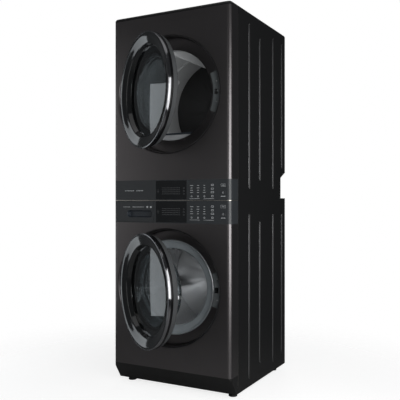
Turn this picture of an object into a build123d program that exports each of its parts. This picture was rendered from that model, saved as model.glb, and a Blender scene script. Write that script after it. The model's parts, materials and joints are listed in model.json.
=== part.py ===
from build123d import *
import os
from math import acos, atan2, cos, degrees, hypot, radians, sin, sqrt

# Stacked laundry tower: a front-loading washer below, a vented dryer above, one control band between.
# Millimetres. X runs to the viewer's right, Y runs from the front to the back, Z is up.
# Most places are given as (x, d, z), where d is the depth behind the front plane of the cabinet.

# ---------------------------------------------------------------- driving dimensions
WIDTH = 686.0
DEPTH = 724.0
HEIGHT = 1924.0
SHEET = 1.5
CORNER_R = 22.0
RETURN_D = 80.0
SIDE_BOTTOM = 24.0
KICK_TOP = 115.0
KICK_SET_BACK = 60.0
TOP_LID = 19.0
TOP_EDGE_R = 15.0
SEAM_IN = 0.7
SEAM_W = 2.5
SEAM_Z = 947.0

BAND_BOTTOM = 853.0
BAND_MIDDLE = 967.0
BAND_TOP = 1070.0
TRIM_HEIGHT = 3.0
FASCIA_T = 3.0

AXIS_X = -16.0
WASHER_Z = 525.0
DRYER_Z = 1502.0
DISH_R = 292.0
DISH_EDGE_R = 11.0
DISH_D = 50.0
DISH_FLOOR_R = 6.0
WASHER_OPENING_R = 240.0
DRYER_OPENING_R = 230.0

DOOR_R = 282.0
DOOR_CREST_D = -12.0
DOOR_WINDOW_R = 217.0
RING_WALL_W = 11.0
RING_KNEE_D = 12.0
DOOR_THICK = 55.0
DOOR_AJAR = 32.0
HINGE_X = -275.4
HINGE_D = 2.9
PIN_R = 2.5
PIN_CLEARANCE = 0.05
BARREL_R = 4.6
HINGE_HALF = 28.0
LUG_T = 6.0
NOTCH_HALF = 40.0

TUB_R = 300.0
TUB_FRONT = 124.0
TUB_BACK = 596.0
TUB_WALL = 4.0
TUB_OPENING_R = 226.0
DRUM_R = 270.0
DRUM_FRONT = 138.0
DRUM_BACK = 560.0
DRUM_SKIN = 1.5
SHAFT_R = 12.5
BELT_T = 3.0
BELT_GAP = 0.3
BELT_W = 12.0
WASHER_BELT_D = 656.0
WASHER_PULLEY_R = 150.0
WASHER_MOTOR_PULLEY_R = 12.0
WASHER_MOTOR_X = 110.0
WASHER_MOTOR_Z = 135.0
WASHER_MOTOR_R = 52.0

DRYER_DRUM_R = 300.0
DRYER_DRUM_FRONT = 106.0
DRYER_DRUM_BACK = 620.0
DRYER_MOTOR_X = 60.0
DRYER_MOTOR_Z = 1085.0
DRYER_MOTOR_R = 50.0
DRYER_BELT_D = 360.0
DRYER_PULLEY_R = 10.0
IDLER_R = 25.0
MOTOR_SHAFT_R = 5.0
RUNNING = 0.05

EXHAUST_X = -96.0
EXHAUST_Z = 1037.0
EXHAUST_R = 50.8
WASHER_BACK_D = 700.0
DRYER_BACK_D = 716.0
RECESS_D = 654.0
RECESS_LOW = 979.0
RECESS_HIGH = 1095.0
RECESS_SLOPE_TOP = 1124.0

DISPLAY_LEFT = -80.0
DISPLAY_RIGHT = 100.0
DRAWER_LEFT = -332.0
DRAWER_RIGHT = -94.0
DRAWER_LOW = 857.0
DRAWER_HIGH = 962.0
KEY_X = 301.5
KEY_W = 28.0
KEY_H = 17.0
KEY_START_DROP = 30.0
KEY_POWER_DROP = 66.0

# Places of repeated parts: feet are (x, d), side beads are (d, low z, high z), valves are (x, z).
FEET = [(-300.0, 112.0), (300.0, 112.0), (-300.0, 640.0), (300.0, 640.0)]
FOOT_STEM_R = 6.0
BEAD_W = 17.0
BEAD_IN = 3.0
BEAD_TAPER = 40.0
WASHER_BEADS = [(215.0, 58.0, 903.0), (352.0, 109.0, 861.0), (538.0, 68.0, 897.0), (673.0, 82.0, 895.0)]
DRYER_BEADS = [(215.0, 1021.0, 1867.0), (352.0, 1066.0, 1823.0), (538.0, 1025.0, 1867.0),
               (673.0, 1145.0, 1867.0)]
SCREW_X = 318.0
WASHER_SCREW_ROWS = [80.0, 290.0, 500.0, 710.0, 925.0]
DRYER_SCREW_ROWS = [1160.0, 1400.0, 1640.0, 1880.0]
SCREW_SHANK_R = 2.0
SCREW_HEAD_R = 4.5
VALVES = [(-250.0, 900.0), (-180.0, 900.0)]
VALVE_THREAD_R = 13.2
CABLE_X = 240.0
CABLE_Z = 1200.0
CABLE_HOLE_R = 14.0

# Door fittings
LATCH_X = AXIS_X + 254.0
LATCH_PIVOT_D = 30.0
BOWL_SEAT_R = 186.0
FRAME_T = 2.5

# Washer inside
LIFTER_ANGLES = (20.0, 140.0, 260.0)
SPRING_D = 430.0
DISPENSER_BACK = 330.0
PULL_X = -179.5
PULL_Z = 898.0
PULL_W = 157.0
PULL_H = 38.0
TRAY_LEFT = DRAWER_LEFT + 3
TRAY_RIGHT = DRAWER_RIGHT - 3
TRAY_LOW = 863.0
TRAY_HIGH = 934.0
TRAY_BACK = 300.0
CELL_WALLS = (TRAY_LEFT, -251.0, -176.0, TRAY_RIGHT)

# Dryer inside
VANE_ANGLES = (108.0, 228.0, 348.0)
VANE_H = 60.0
LINT_HALF = 118.0
LINT_TOP = DRYER_Z - 190.0
LINT_LOW = 1180.0
LINT_D0 = 70.0
LINT_D1 = 84.0
IDLER_AXLE_R = 4.0
SCROLL_R = 96.0
SCROLL_D0 = 99.0
SCROLL_D1 = 180.0

HALF_W = WIDTH / 2
INNER_X = HALF_W - SHEET
DOOR_REACH = (
    (AXIS_X + DOOR_R - HINGE_X) * sin(radians(DOOR_AJAR))
    - (DOOR_CREST_D - HINGE_D) * cos(radians(DOOR_AJAR))
    - HINGE_D
)
FRONT = (DOOR_REACH - DEPTH) / 2


# ---------------------------------------------------------------- shaping helpers
def block(x0, x1, d0, d1, z0, z1):
    size = Box(abs(x1 - x0), abs(d1 - d0), abs(z1 - z0))
    return Pos((x0 + x1) / 2, FRONT + (d0 + d1) / 2, (z0 + z1) / 2) * size


def rod_y(x, z, radius, d0, d1):
    return Pos(x, FRONT + (d0 + d1) / 2, z) * Rot(90, 0, 0) * Cylinder(radius, abs(d1 - d0))


def rod_z(x, d, radius, z0, z1):
    return Pos(x, FRONT + d, (z0 + z1) / 2) * Cylinder(radius, abs(z1 - z0))


def strut(start, end, radius):
    a = Vector(start[0], FRONT + start[1], start[2])
    b = Vector(end[0], FRONT + end[1], end[2])
    along = Plane(origin=(a + b) / 2, z_dir=b - a)
    return along * Cylinder(radius, (b - a).length)


def lathe(outline, x, z):
    """Turn a closed outline of (radius, depth) about a front-to-back axis."""
    face = make_face(Polyline(*outline, close=True)) if isinstance(outline, list) else outline
    return Pos(x, FRONT, z) * revolve(face, axis=Axis.Y)


def plan(points, z0, z1):
    """Raise a closed (x, depth) outline from z0 to z1."""
    face = make_face(Polyline(*points, close=True))
    return Pos(0, FRONT, z0) * extrude(face, z1 - z0)


def side_profile(points, x0, x1):
    """Run a closed (depth, z) outline across the cabinet from x0 to x1."""
    face = Plane.YZ * make_face(Polyline(*points, close=True))
    return Pos(x0, FRONT, 0) * extrude(face, x1 - x0)


def turned(shape, degrees_round, x, z):
    """Turn a shape about the front-to-back axis through (x, z)."""
    return Pos(x, 0, z) * Rot(0, degrees_round, 0) * Pos(-x, 0, -z) * shape


def both_sides(shape):
    return [shape, mirror(shape, about=Plane.YZ)]


def wrap_block(inset, z0, z1, back):
    """Solid front block with rounded vertical corners, inset from the outer skin."""
    half = HALF_W - inset
    flat = HALF_W - CORNER_R
    r = CORNER_R - inset
    k = r * sqrt(0.5)
    outline = [
        Line((-half, back), (-half, CORNER_R)),
        ThreePointArc((-half, CORNER_R), (-flat - k, CORNER_R - k), (-flat, inset)),
        Line((-flat, inset), (flat, inset)),
        ThreePointArc((flat, inset), (flat + k, CORNER_R - k), (half, CORNER_R)),
        Line((half, CORNER_R), (half, back)),
        Line((half, back), (-half, back)),
    ]
    return Pos(0, FRONT, z0) * extrude(make_face(outline), z1 - z0)


def wrap_shell(z0, z1, thickness, back=RETURN_D):
    """U-shaped skin: the front face and its two side returns."""
    return wrap_block(0, z0, z1, back) - wrap_block(thickness, z0 - 1, z1 + 1, back + 1)


# ---------------------------------------------------------------- cabinet
def base_pan():
    flange_top = 50.0
    floor_t = 2.0
    front = KICK_SET_BACK + 6
    pan = block(-INNER_X, INNER_X, front, WASHER_BACK_D, SIDE_BOTTOM, flange_top)
    pan -= block(-INNER_X + floor_t, INNER_X - floor_t, front + floor_t, WASHER_BACK_D - floor_t,
                 SIDE_BOTTOM + floor_t, flange_top + 1)
    for x, d in FEET:
        pan -= rod_z(x, d, FOOT_STEM_R, SIDE_BOTTOM - 1, SIDE_BOTTOM + floor_t + 1)
    return pan


def levelling_foot(x, d):
    pad_r = 22.0
    nut_r = 12.0
    pad = rod_z(x, d, pad_r, 0, 9)
    pad = fillet(pad.edges().filter_by(GeomType.CIRCLE).group_by(Axis.Z)[-1], 3)
    nut = Pos(x, FRONT + d, 18) * extrude(RegularPolygon(nut_r, 6), SIDE_BOTTOM - 18)
    return pad + rod_z(x, d, FOOT_STEM_R, 5, 58) + nut


def kick_panel():
    slope = KICK_SET_BACK / (KICK_TOP - SIDE_BOTTOM)
    lean = SHEET * sqrt(1 + slope * slope)
    shell = wrap_block(0, SIDE_BOTTOM, KICK_TOP, RETURN_D)
    shell -= side_profile([(-1, KICK_TOP), (0, KICK_TOP), (KICK_SET_BACK, SIDE_BOTTOM),
                           (KICK_SET_BACK, SIDE_BOTTOM - 1), (-1, SIDE_BOTTOM - 1)], -HALF_W, HALF_W)
    inside = wrap_block(SHEET, SIDE_BOTTOM - 1, KICK_TOP - SHEET, RETURN_D + 1)
    inside -= side_profile([(-1, KICK_TOP), (lean, KICK_TOP), (KICK_SET_BACK + lean, SIDE_BOTTOM),
                            (KICK_SET_BACK + lean, SIDE_BOTTOM - 2), (-1, SIDE_BOTTOM - 2)],
                           -HALF_W, HALF_W)
    return shell - inside


def side_panel(z0, z1, beads):
    """Right-hand side sheet with pressed-in vertical beads and a folded rear edge."""
    rear_fold = 14.0
    panel = block(INNER_X, HALF_W, RETURN_D, DEPTH, z0, z1)
    panel += block(INNER_X - rear_fold, HALF_W, DEPTH - SHEET, DEPTH, z0, z1)
    panel -= block(HALF_W - SEAM_IN, HALF_W + 1, RETURN_D - 1, RETURN_D + SEAM_W, z0 - 1, z1 + 1)
    for d, low, high in beads:
        face = Plane(origin=(HALF_W, FRONT + d, (low + high) / 2), x_dir=(0, 0, 1), z_dir=(-1, 0, 0))
        rib = SlotOverall(high - low + 2 * SHEET, BEAD_W + 2 * SHEET)
        groove = SlotOverall(high - low, BEAD_W)
        panel += extrude(face * rib, BEAD_IN + SHEET, taper=BEAD_TAPER)
        panel -= extrude(face * groove, BEAD_IN, taper=BEAD_TAPER)
    return panel


def rear_recess_cut():
    return side_profile([(DEPTH + 1, RECESS_SLOPE_TOP), (DRYER_BACK_D, RECESS_SLOPE_TOP),
                         (RECESS_D, RECESS_HIGH), (RECESS_D, RECESS_LOW), (DEPTH + 1, RECESS_LOW)],
                        -HALF_W - 1, HALF_W + 1)


def screw_places():
    rows = [(z, WASHER_BACK_D + SHEET) for z in WASHER_SCREW_ROWS]
    rows += [(z, DRYER_BACK_D + SHEET) for z in DRYER_SCREW_ROWS]
    return [(side * SCREW_X, d, z) for z, d in rows for side in (-1, 1)]


def panel_screw(x, d, z):
    head = rod_y(x, z, SCREW_HEAD_R, d, d + 2.4)
    head = fillet(head.edges().filter_by(GeomType.CIRCLE).group_by(Axis.Y)[-1], 1.2)
    return head + rod_y(x, z, SCREW_SHANK_R, d - 9, d + 1)


def drill_for_screws(panel):
    for x, d, z in screw_places():
        panel -= rod_y(x, z, SCREW_SHANK_R, d - 4, d + 1)
    return panel


def washer_back_panel():
    panel = block(-INNER_X, INNER_X, WASHER_BACK_D, WASHER_BACK_D + SHEET, SIDE_BOTTOM, SEAM_Z)
    panel += block(-INNER_X, INNER_X, WASHER_BACK_D, DEPTH - SHEET, SEAM_Z - SHEET, SEAM_Z)
    for x, z in VALVES:
        panel -= rod_y(x, z, VALVE_THREAD_R, WASHER_BACK_D - 1, WASHER_BACK_D + 3)
    return drill_for_screws(panel)


def dryer_back_panel():
    outer = DRYER_BACK_D + SHEET
    recess = RECESS_D + SHEET
    low = SEAM_Z + 6
    top = HEIGHT - TOP_LID
    points = [(DRYER_BACK_D, top), (outer, top), (outer, RECESS_SLOPE_TOP), (recess, RECESS_HIGH),
              (recess, RECESS_LOW), (outer, RECESS_LOW), (outer, low), (DRYER_BACK_D, low),
              (DRYER_BACK_D, RECESS_LOW - SHEET), (RECESS_D, RECESS_LOW - SHEET),
              (RECESS_D, RECESS_HIGH + 1), (DRYER_BACK_D, RECESS_SLOPE_TOP + 1)]
    panel = side_profile(points, -INNER_X, INNER_X)
    panel -= rod_y(EXHAUST_X, EXHAUST_Z, EXHAUST_R, RECESS_D - 1, recess + 1)
    panel -= rod_y(CABLE_X, CABLE_Z, CABLE_HOLE_R, DRYER_BACK_D - 1, outer + 1)
    return drill_for_screws(panel)


def dish(opening_r):
    """The round recess that the door closes into, with a rolled edge."""
    rim = DISH_R + DISH_EDGE_R
    floor = DISH_D
    f = DISH_FLOOR_R
    outline = [
        CenterArc((rim, DISH_EDGE_R), DISH_EDGE_R, 270, -90),
        Line((DISH_R, DISH_EDGE_R), (DISH_R, floor - f)),
        CenterArc((DISH_R - f, floor - f), f, 0, 90),
        Line((DISH_R - f, floor), (opening_r, floor)),
        Line((opening_r, floor), (opening_r, floor + SHEET)),
        Line((opening_r, floor + SHEET), (DISH_R - f, floor + SHEET)),
        CenterArc((DISH_R - f, floor - f), f + SHEET, 90, -90),
        Line((DISH_R + SHEET, floor - f), (DISH_R + SHEET, DISH_EDGE_R)),
        CenterArc((rim, DISH_EDGE_R), DISH_EDGE_R - SHEET, 180, 90),
        Line((rim, SHEET), (rim, 0)),
    ]
    return make_face(outline)


def front_panel(z0, z1, axis_z, opening_r):
    fold = CORNER_R + 4
    panel = wrap_shell(z0, z1, SHEET)
    panel -= rod_y(AXIS_X, axis_z, DISH_R + DISH_EDGE_R, -1, SHEET + 1)
    panel += lathe(dish(opening_r), AXIS_X, axis_z)
    for low in (z0, z1 - SHEET):
        panel += wrap_block(SHEET, low, low + SHEET, fold)
    return panel


def washer_front_panel():
    panel = front_panel(KICK_TOP, BAND_BOTTOM, WASHER_Z, WASHER_OPENING_R)
    return panel - lock_slot()


def lock_slot():
    return block(LATCH_X - 12, LATCH_X + 14, DISH_D - 6, DISH_D + 4, WASHER_Z - 14, WASHER_Z + 14)


def top_panel():
    """Lid with a broad rolled edge all round."""
    low = HEIGHT - TOP_LID
    wall = 3.0
    lid = wrap_block(0, low, HEIGHT, DEPTH)
    lid = fillet(lid.edges().group_by(Axis.Z)[-1], TOP_EDGE_R)
    hollow = wrap_block(wall, low - 1, HEIGHT - wall, DEPTH - wall)
    return lid - fillet(hollow.edges().group_by(Axis.Z)[-1], TOP_EDGE_R - wall)


def mid_deck():
    low = SEAM_Z
    fold = 24.0
    front = 26.0
    back = DRYER_BACK_D - 0.5
    nose_x = HALF_W - FASCIA_T - 0.5
    deck = block(-INNER_X, INNER_X, RETURN_D + 0.5, back, low, low + 2)
    deck += block(-nose_x, nose_x, front, RETURN_D + 1, low, low + 2)
    deck += block(-INNER_X, INNER_X, back - 2, back, low, low + fold)
    deck += block(-nose_x, nose_x, front, front + 2, low, low + fold)
    return deck


# ---------------------------------------------------------------- control band
def key_heights(band_top):
    return {"start": band_top - KEY_START_DROP, "power": band_top - KEY_POWER_DROP}


def fascia(z0, z1, band_top):
    panel = wrap_shell(z0, z1, FASCIA_T)
    panel -= block(DISPLAY_LEFT, DISPLAY_RIGHT, -1, FASCIA_T + 1, z0 + 3, z1 - 3)
    gap = 0.35
    for z in key_heights(band_top).values():
        panel -= block(KEY_X - KEY_W / 2 - gap, KEY_X + KEY_W / 2 + gap, -1, FASCIA_T + 1,
                       z - KEY_H / 2 - gap, z + KEY_H / 2 + gap)
    return panel


def washer_fascia():
    panel = fascia(BAND_BOTTOM, BAND_MIDDLE - TRIM_HEIGHT / 2, BAND_MIDDLE)
    gap = 1.0
    panel -= block(DRAWER_LEFT - gap, DRAWER_RIGHT + gap, -1, RETURN_D - 45, DRAWER_LOW - gap,
                   DRAWER_HIGH + gap)
    return panel


def dryer_fascia():
    return fascia(BAND_MIDDLE + TRIM_HEIGHT / 2, BAND_TOP, BAND_TOP)


def fascia_trim():
    return wrap_shell(BAND_MIDDLE - TRIM_HEIGHT / 2, BAND_MIDDLE + TRIM_HEIGHT / 2, FASCIA_T)


def display_window(z0, z1):
    lip = 5.0
    pane = block(DISPLAY_LEFT, DISPLAY_RIGHT, 0, FASCIA_T, z0 + 3, z1 - 3)
    return pane + block(DISPLAY_LEFT - lip, DISPLAY_RIGHT + lip, FASCIA_T, FASCIA_T + 2, z0 + 1, z1 - 1)


def key(z):
    cap = block(KEY_X - KEY_W / 2, KEY_X + KEY_W / 2, -1.2, 7.0, z - KEY_H / 2, z + KEY_H / 2)
    cap = fillet(cap.edges().group_by(Axis.Y)[0], 0.8)
    flange_x = KEY_X - KEY_W / 2 - 2.5
    stop = FASCIA_T + 0.3
    return cap + block(flange_x, KEY_X + KEY_W / 2 + 2.5, stop, stop + 1.5,
                       z - KEY_H / 2 - 2.5, z + KEY_H / 2 + 2.5)


# ---------------------------------------------------------------- doors, drawn shut then swung ajar


def ajar(shape):
    pivot = Pos(HINGE_X, FRONT + HINGE_D, 0)
    back = Pos(-HINGE_X, -FRONT - HINGE_D, 0)
    return pivot * Rot(0, 0, -DOOR_AJAR) * back * shape


def door_lathe(outline, axis_z):
    return lathe([(r, DOOR_CREST_D + d) for r, d in outline], AXIS_X, axis_z)


def door_ring(axis_z):
    """Glossy ring: a broad front band, then a steep wall down to the recessed window."""
    crest_r = DOOR_R - 5.2
    wall_r = DOOR_WINDOW_R + RING_WALL_W
    seat_r = DOOR_WINDOW_R + 3.2
    low = 33.0
    knee = RING_KNEE_D
    t = 1.8
    base = DOOR_CREST_D
    outline = Polyline(
        (crest_r, base + 0.8), (wall_r, base + knee), (DOOR_WINDOW_R, base + low),
        (DOOR_WINDOW_R, base + low + 1.4), (seat_r, base + low + 1.4), (seat_r, base + low + 5.4),
        (seat_r + 3, base + low + 5.4), (seat_r + 3, base + low + 0.6), (wall_r + t, base + knee + t),
        (crest_r, base + 0.8 + t), close=True)
    return lathe(make_face(outline), AXIS_X, axis_z)


def hinge_notch(axis_z):
    return block(AXIS_X - DOOR_R - 5, -250, -7.5, 60, axis_z - NOTCH_HALF, axis_z + NOTCH_HALF)


def door_trim(axis_z):
    """Bright rim band that carries the ring's outer edge."""
    r = DOOR_R
    outline = [(r - 5.2, 0), (r - 1.5, 0), (r, 1.5), (r, 26), (r - 2.4, 26), (r - 2.4, 3.0),
               (r - 5.2, 2.6)]
    return door_lathe(outline, axis_z) - hinge_notch(axis_z)


def door_window(axis_z):
    rim = DOOR_WINDOW_R + 3.0
    r = DOOR_WINDOW_R - 1.0
    base = DOOR_CREST_D + 34.4
    crown = 4.0
    t = 4.0
    ball = (r * r + crown * crown) / (2 * crown)
    half_way = ball - crown - sqrt(ball * ball - r * r / 4)
    outline = [
        ThreePointArc((0, base - crown), (r / 2, base + half_way), (r, base)),
        Line((r, base), (rim, base)),
        Line((rim, base), (rim, base + t)),
        Line((rim, base + t), (r, base + t)),
        ThreePointArc((r, base + t), (r / 2, base + t + half_way), (0, base + t - crown)),
        Line((0, base + t - crown), (0, base - crown)),
    ]
    return lathe(make_face(outline), AXIS_X, axis_z)


def door_frame(axis_z):
    """Rear half of the door: a tapering wall and the flat back that meets the cabinet."""
    r = DOOR_R
    back = DOOR_THICK
    outline = [(r - 0.8, 26), (r - 10, 49), (r - 14, back), (BOWL_SEAT_R, back),
               (BOWL_SEAT_R, back - FRAME_T), (r - 15.5, back - FRAME_T), (r - 12.5, 48.5),
               (r - 3.2, 26)]
    return door_lathe(outline, axis_z) - hinge_notch(axis_z)


def washer_door_frame():
    frame = door_frame(WASHER_Z)
    back = DOOR_CREST_D + DOOR_THICK
    inner = back - FRAME_T
    frame -= block(LATCH_X - 9, LATCH_X + 10, inner - 1, back + 1, WASHER_Z - 9.5, WASHER_Z + 9.5)
    for side in (-1, 1):
        z = WASHER_Z + side * 12.0
        frame += block(LATCH_X - 7, LATCH_X + 7, LATCH_PIVOT_D - 6, inner, z - 2, z + 2)
    return frame + rod_z(LATCH_X, LATCH_PIVOT_D, 2.0, WASHER_Z - 14, WASHER_Z + 14)


def washer_door_hook():
    eye_r = 5.0
    half = 8.0
    tip = 66.0
    arm = plan([(LATCH_X - 3, LATCH_PIVOT_D), (LATCH_X + 3, LATCH_PIVOT_D), (LATCH_X + 3, tip - 11),
                (LATCH_X + 8, tip - 9), (LATCH_X + 3, tip), (LATCH_X - 3, tip)],
               WASHER_Z - half, WASHER_Z + half)
    arm += rod_z(LATCH_X, LATCH_PIVOT_D, eye_r, WASHER_Z - half, WASHER_Z + half)
    return arm - rod_z(LATCH_X, LATCH_PIVOT_D, 2.0 + RUNNING, WASHER_Z - 20, WASHER_Z + 20)


def dryer_door_catch():
    """Fixed striker tongue on the back of the dryer door."""
    back = DOOR_CREST_D + DOOR_THICK
    plate = block(LATCH_X - 10, LATCH_X + 10, back, back + 2, DRYER_Z - 22, DRYER_Z + 22)
    tongue = block(LATCH_X - 3, LATCH_X + 3, back, back + 14, DRYER_Z - 9, DRYER_Z + 9)
    return plate + fillet(tongue.edges().group_by(Axis.Y)[-1], 2)


def catch_slot():
    return block(LATCH_X - 8, LATCH_X + 10, DISH_D - 6, DISH_D + 4, DRYER_Z - 13, DRYER_Z + 13)


def door_bowl(axis_z, reach, nose_r):
    """Glass bowl, its flange inside the frame and its nose in the load opening."""
    seat = DOOR_THICK - FRAME_T
    wall = 5.0
    root = BOWL_SEAT_R - 1.5
    crown = reach + 10
    outline = [(BOWL_SEAT_R + 12, seat - 4), (BOWL_SEAT_R + 12, seat), (root, seat),
               (root - 4, seat + 8), (nose_r, reach - 6), (nose_r - 8, reach), (nose_r * 0.55, crown - 2),
               (0, crown), (0, crown - wall), (nose_r * 0.55, crown - 2 - wall),
               (nose_r - 11, reach - wall), (nose_r - wall, reach - 9), (root - 4 - wall, seat + 6),
               (root - wall - 1, seat - 4)]
    return door_lathe(outline, axis_z)


def door_hinge_leaf(axis_z):
    inner = DOOR_CREST_D + DOOR_THICK - FRAME_T
    leaf = plan([(HINGE_X - 2.0, HINGE_D + 3.5), (-264.5, inner), (-222, inner), (-222, inner - 3),
                 (-261.5, inner - 3), (HINGE_X + 4.0, HINGE_D + 1.0)],
                axis_z - HINGE_HALF, axis_z + HINGE_HALF)
    leaf += rod_z(HINGE_X, HINGE_D, BARREL_R, axis_z - HINGE_HALF, axis_z + HINGE_HALF)
    return leaf - rod_z(HINGE_X, HINGE_D, PIN_R + PIN_CLEARANCE, axis_z - 60, axis_z + 60)


def door_hinge_bracket(axis_z):
    """Fixed bracket: a plate on the recess floor, two lugs and the hinge pin."""
    foot_d = DISH_D - 3
    low = HINGE_HALF + 0.4
    left, right = AXIS_X - 280, AXIS_X - 247
    bracket = block(left, right, foot_d, DISH_D, axis_z - low - LUG_T, axis_z + low + LUG_T)
    for side in (-1, 1):
        z = axis_z + side * (low + LUG_T / 2)
        lug = plan([(HINGE_X - 4.4, HINGE_D), (HINGE_X + 4.4, HINGE_D), (right, foot_d + 1),
                    (HINGE_X - 6, foot_d + 1)], z - LUG_T / 2, z + LUG_T / 2)
        bracket += lug + rod_z(HINGE_X, HINGE_D, BARREL_R, z - LUG_T / 2, z + LUG_T / 2)
    reach = low + LUG_T
    return bracket + rod_z(HINGE_X, HINGE_D, PIN_R, axis_z - reach, axis_z + reach)


def lock_plate(axis_z, inner_r, outer_r, half_angle, slot):
    """Crescent cover on the recess floor, around the latch slot."""
    ring = lathe([(inner_r, DISH_D - 3), (outer_r, DISH_D - 3), (outer_r, DISH_D), (inner_r, DISH_D)],
                 AXIS_X, axis_z)
    reach = 400.0
    lift = reach * sin(radians(half_angle))
    wedge = extrude(Plane.XZ * make_face(Polyline((0, 0), (reach, -lift), (reach, lift), close=True)),
                    1000, both=True)
    plate = ring & (Pos(AXIS_X, 0, axis_z) * wedge)
    return plate - slot


# ---------------------------------------------------------------- washer works
def washer_tub():
    r = TUB_R
    wall = TUB_WALL
    boss_r = 50.0
    bore = SHAFT_R + RUNNING
    outline = [(TUB_OPENING_R, TUB_FRONT), (r, TUB_FRONT), (r, TUB_BACK), (boss_r, TUB_BACK),
               (boss_r, TUB_BACK + 44), (bore, TUB_BACK + 44), (bore, TUB_BACK - 20),
               (boss_r, TUB_BACK - 20), (boss_r, TUB_BACK - 6), (r - wall, TUB_BACK - 6),
               (r - wall, TUB_FRONT + wall), (TUB_OPENING_R, TUB_FRONT + wall)]
    return lathe(outline, AXIS_X, WASHER_Z)


def tub_outside():
    return rod_y(AXIS_X, WASHER_Z, TUB_R, TUB_FRONT - 50, TUB_BACK + 60)


def washer_bellows():
    """Folded rubber gasket between the recess edge and the tub mouth."""
    mouth = TUB_OPENING_R - 2
    path = [(WASHER_OPENING_R + 3, DISH_D - 2), (234, DISH_D - 2), (230, 56), (206, 61), (197, 70),
            (204, 80), (224, 84), (229, 92), (mouth, 101), (mouth, TUB_FRONT + TUB_WALL)]
    return lathe(trace(Polyline(*path), line_width=4), AXIS_X, WASHER_Z)


def washer_drum():
    r = DRUM_R
    skin = DRUM_SKIN
    lip = 213.0
    end = WASHER_BELT_D + 14
    outline = [(lip, DRUM_FRONT), (r - 8, DRUM_FRONT), (r, DRUM_FRONT + 8), (r, DRUM_BACK), (62, DRUM_BACK),
               (50, DRUM_BACK + 10), (SHAFT_R, DRUM_BACK + 10), (SHAFT_R, end), (0, end),
               (0, DRUM_BACK - 14), (60, DRUM_BACK - 14), (150, DRUM_BACK - skin),
               (r - skin, DRUM_BACK - skin), (r - skin, DRUM_FRONT + 9), (r - 9, DRUM_FRONT + skin),
               (lip, DRUM_FRONT + skin)]
    return lathe(outline, AXIS_X, WASHER_Z)


def drum_lifter(angle):
    """Paddle on the drum wall, wide at its root and narrow at its crest."""
    inner = DRUM_R - DRUM_SKIN
    front, back = DRUM_FRONT + 22, DRUM_BACK - 22
    outline = make_face(Polyline((-36, inner + 4), (-24, inner - 20), (-10, inner - 52),
                                 (10, inner - 52), (24, inner - 20), (36, inner + 4), close=True))
    paddle = Pos(AXIS_X, FRONT + back, WASHER_Z) * extrude(Plane.XZ * outline, back - front)
    paddle = turned(paddle, angle, AXIS_X, WASHER_Z)
    return paddle & rod_y(AXIS_X, WASHER_Z, inner, front - 5, back + 5)


def washer_drum_pulley():
    r = WASHER_PULLEY_R
    half = 8.0
    mid = WASHER_BELT_D
    rim = lathe([(r - 9, mid - half), (r, mid - half), (r, mid + half), (r - 9, mid + half)],
                AXIS_X, WASHER_Z)
    hub = lathe([(SHAFT_R, mid - half), (26, mid - half), (26, mid + half), (SHAFT_R, mid + half)],
                AXIS_X, WASHER_Z)
    spokes = 6
    for i in range(spokes):
        spoke = block(AXIS_X + 20, AXIS_X + r - 5, mid - 4, mid + 4, WASHER_Z - 9, WASHER_Z + 9)
        hub += turned(spoke, i * 360 / spokes, AXIS_X, WASHER_Z)
    return rim + hub - rod_y(AXIS_X, WASHER_Z, SHAFT_R, mid - 20, mid + 20)


def washer_motor():
    x, z, r = WASHER_MOTOR_X, WASHER_MOTOR_Z, WASHER_MOTOR_R
    body = rod_y(x, z, r, 528, 628)
    body = chamfer(body.edges().filter_by(GeomType.CIRCLE), 4)
    for d in (540, 600):
        hanger = block(x - 34, x + 34, d, d + 14, z, z + 200)
        body += hanger - tub_outside()
    return body - rod_y(x, z, MOTOR_SHAFT_R + RUNNING, 500, 640)


def motor_spindle(x, z, pulley_r, shaft_from, belt_d):
    """Motor shaft with the small belt pulley on its end."""
    half = 8.0
    return rod_y(x, z, MOTOR_SHAFT_R, shaft_from, belt_d + half) + rod_y(x, z, pulley_r, belt_d - half,
                                                                       belt_d + half)


def belt(big, big_r, small, small_r, belt_d):
    """Flat belt round two pulleys, a hair clear of both."""
    def loop(extra):
        circles = [Pos(*big) * Circle(big_r + extra), Pos(*small) * Circle(small_r + extra)]
        return make_hull([edge for circle in circles for edge in circle.edges()])
    band = loop(BELT_GAP + BELT_T) - loop(BELT_GAP)
    return Pos(0, FRONT + belt_d + BELT_W / 2, 0) * extrude(Plane.XZ * band, BELT_W)


def washer_counterweight():
    ring = lathe([(238, TUB_FRONT - 32), (298, TUB_FRONT - 32), (298, TUB_FRONT), (238, TUB_FRONT)],
                 AXIS_X, WASHER_Z)
    return ring & block(-HALF_W, HALF_W, TUB_FRONT - 40, TUB_FRONT + 5, WASHER_Z + 110, WASHER_Z + 320)


def tub_damper(side):
    foot = (AXIS_X + side * 235, 330, SIDE_BOTTOM + 2)
    head = (AXIS_X + side * 150, 330, WASHER_Z - 230)
    middle = tuple((a + b) / 2 for a, b in zip(foot, head))
    body = strut(foot, middle, 15) + strut(middle, head, 7)
    body -= block(-HALF_W, HALF_W, 200, 460, 0, SIDE_BOTTOM + 2)
    return body - tub_outside()


def tub_spring(side):
    """Coil spring that hangs the tub from the deck, with straight ends."""
    x = AXIS_X + side * 225
    coil_low, coil_high = 800.0, 900.0
    coil_r, wire_r = 12.0, 2.0
    coil = Helix(pitch=10, height=coil_high - coil_low, radius=coil_r)
    start = Plane(origin=coil @ 0, z_dir=coil % 0)
    spring = Pos(x, FRONT + SPRING_D, coil_low) * sweep(start * Circle(wire_r), path=coil)
    foot = WASHER_Z + sqrt(TUB_R ** 2 - (x + coil_r - AXIS_X) ** 2) - 2
    hook_r = wire_r - 0.4
    lower = rod_z(x + coil_r, SPRING_D, hook_r, foot - 10, coil_low + 0.5) - tub_outside()
    upper = rod_z(x + coil_r, SPRING_D, hook_r, coil_high - 0.5, SEAM_Z)
    return spring + lower + upper


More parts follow.
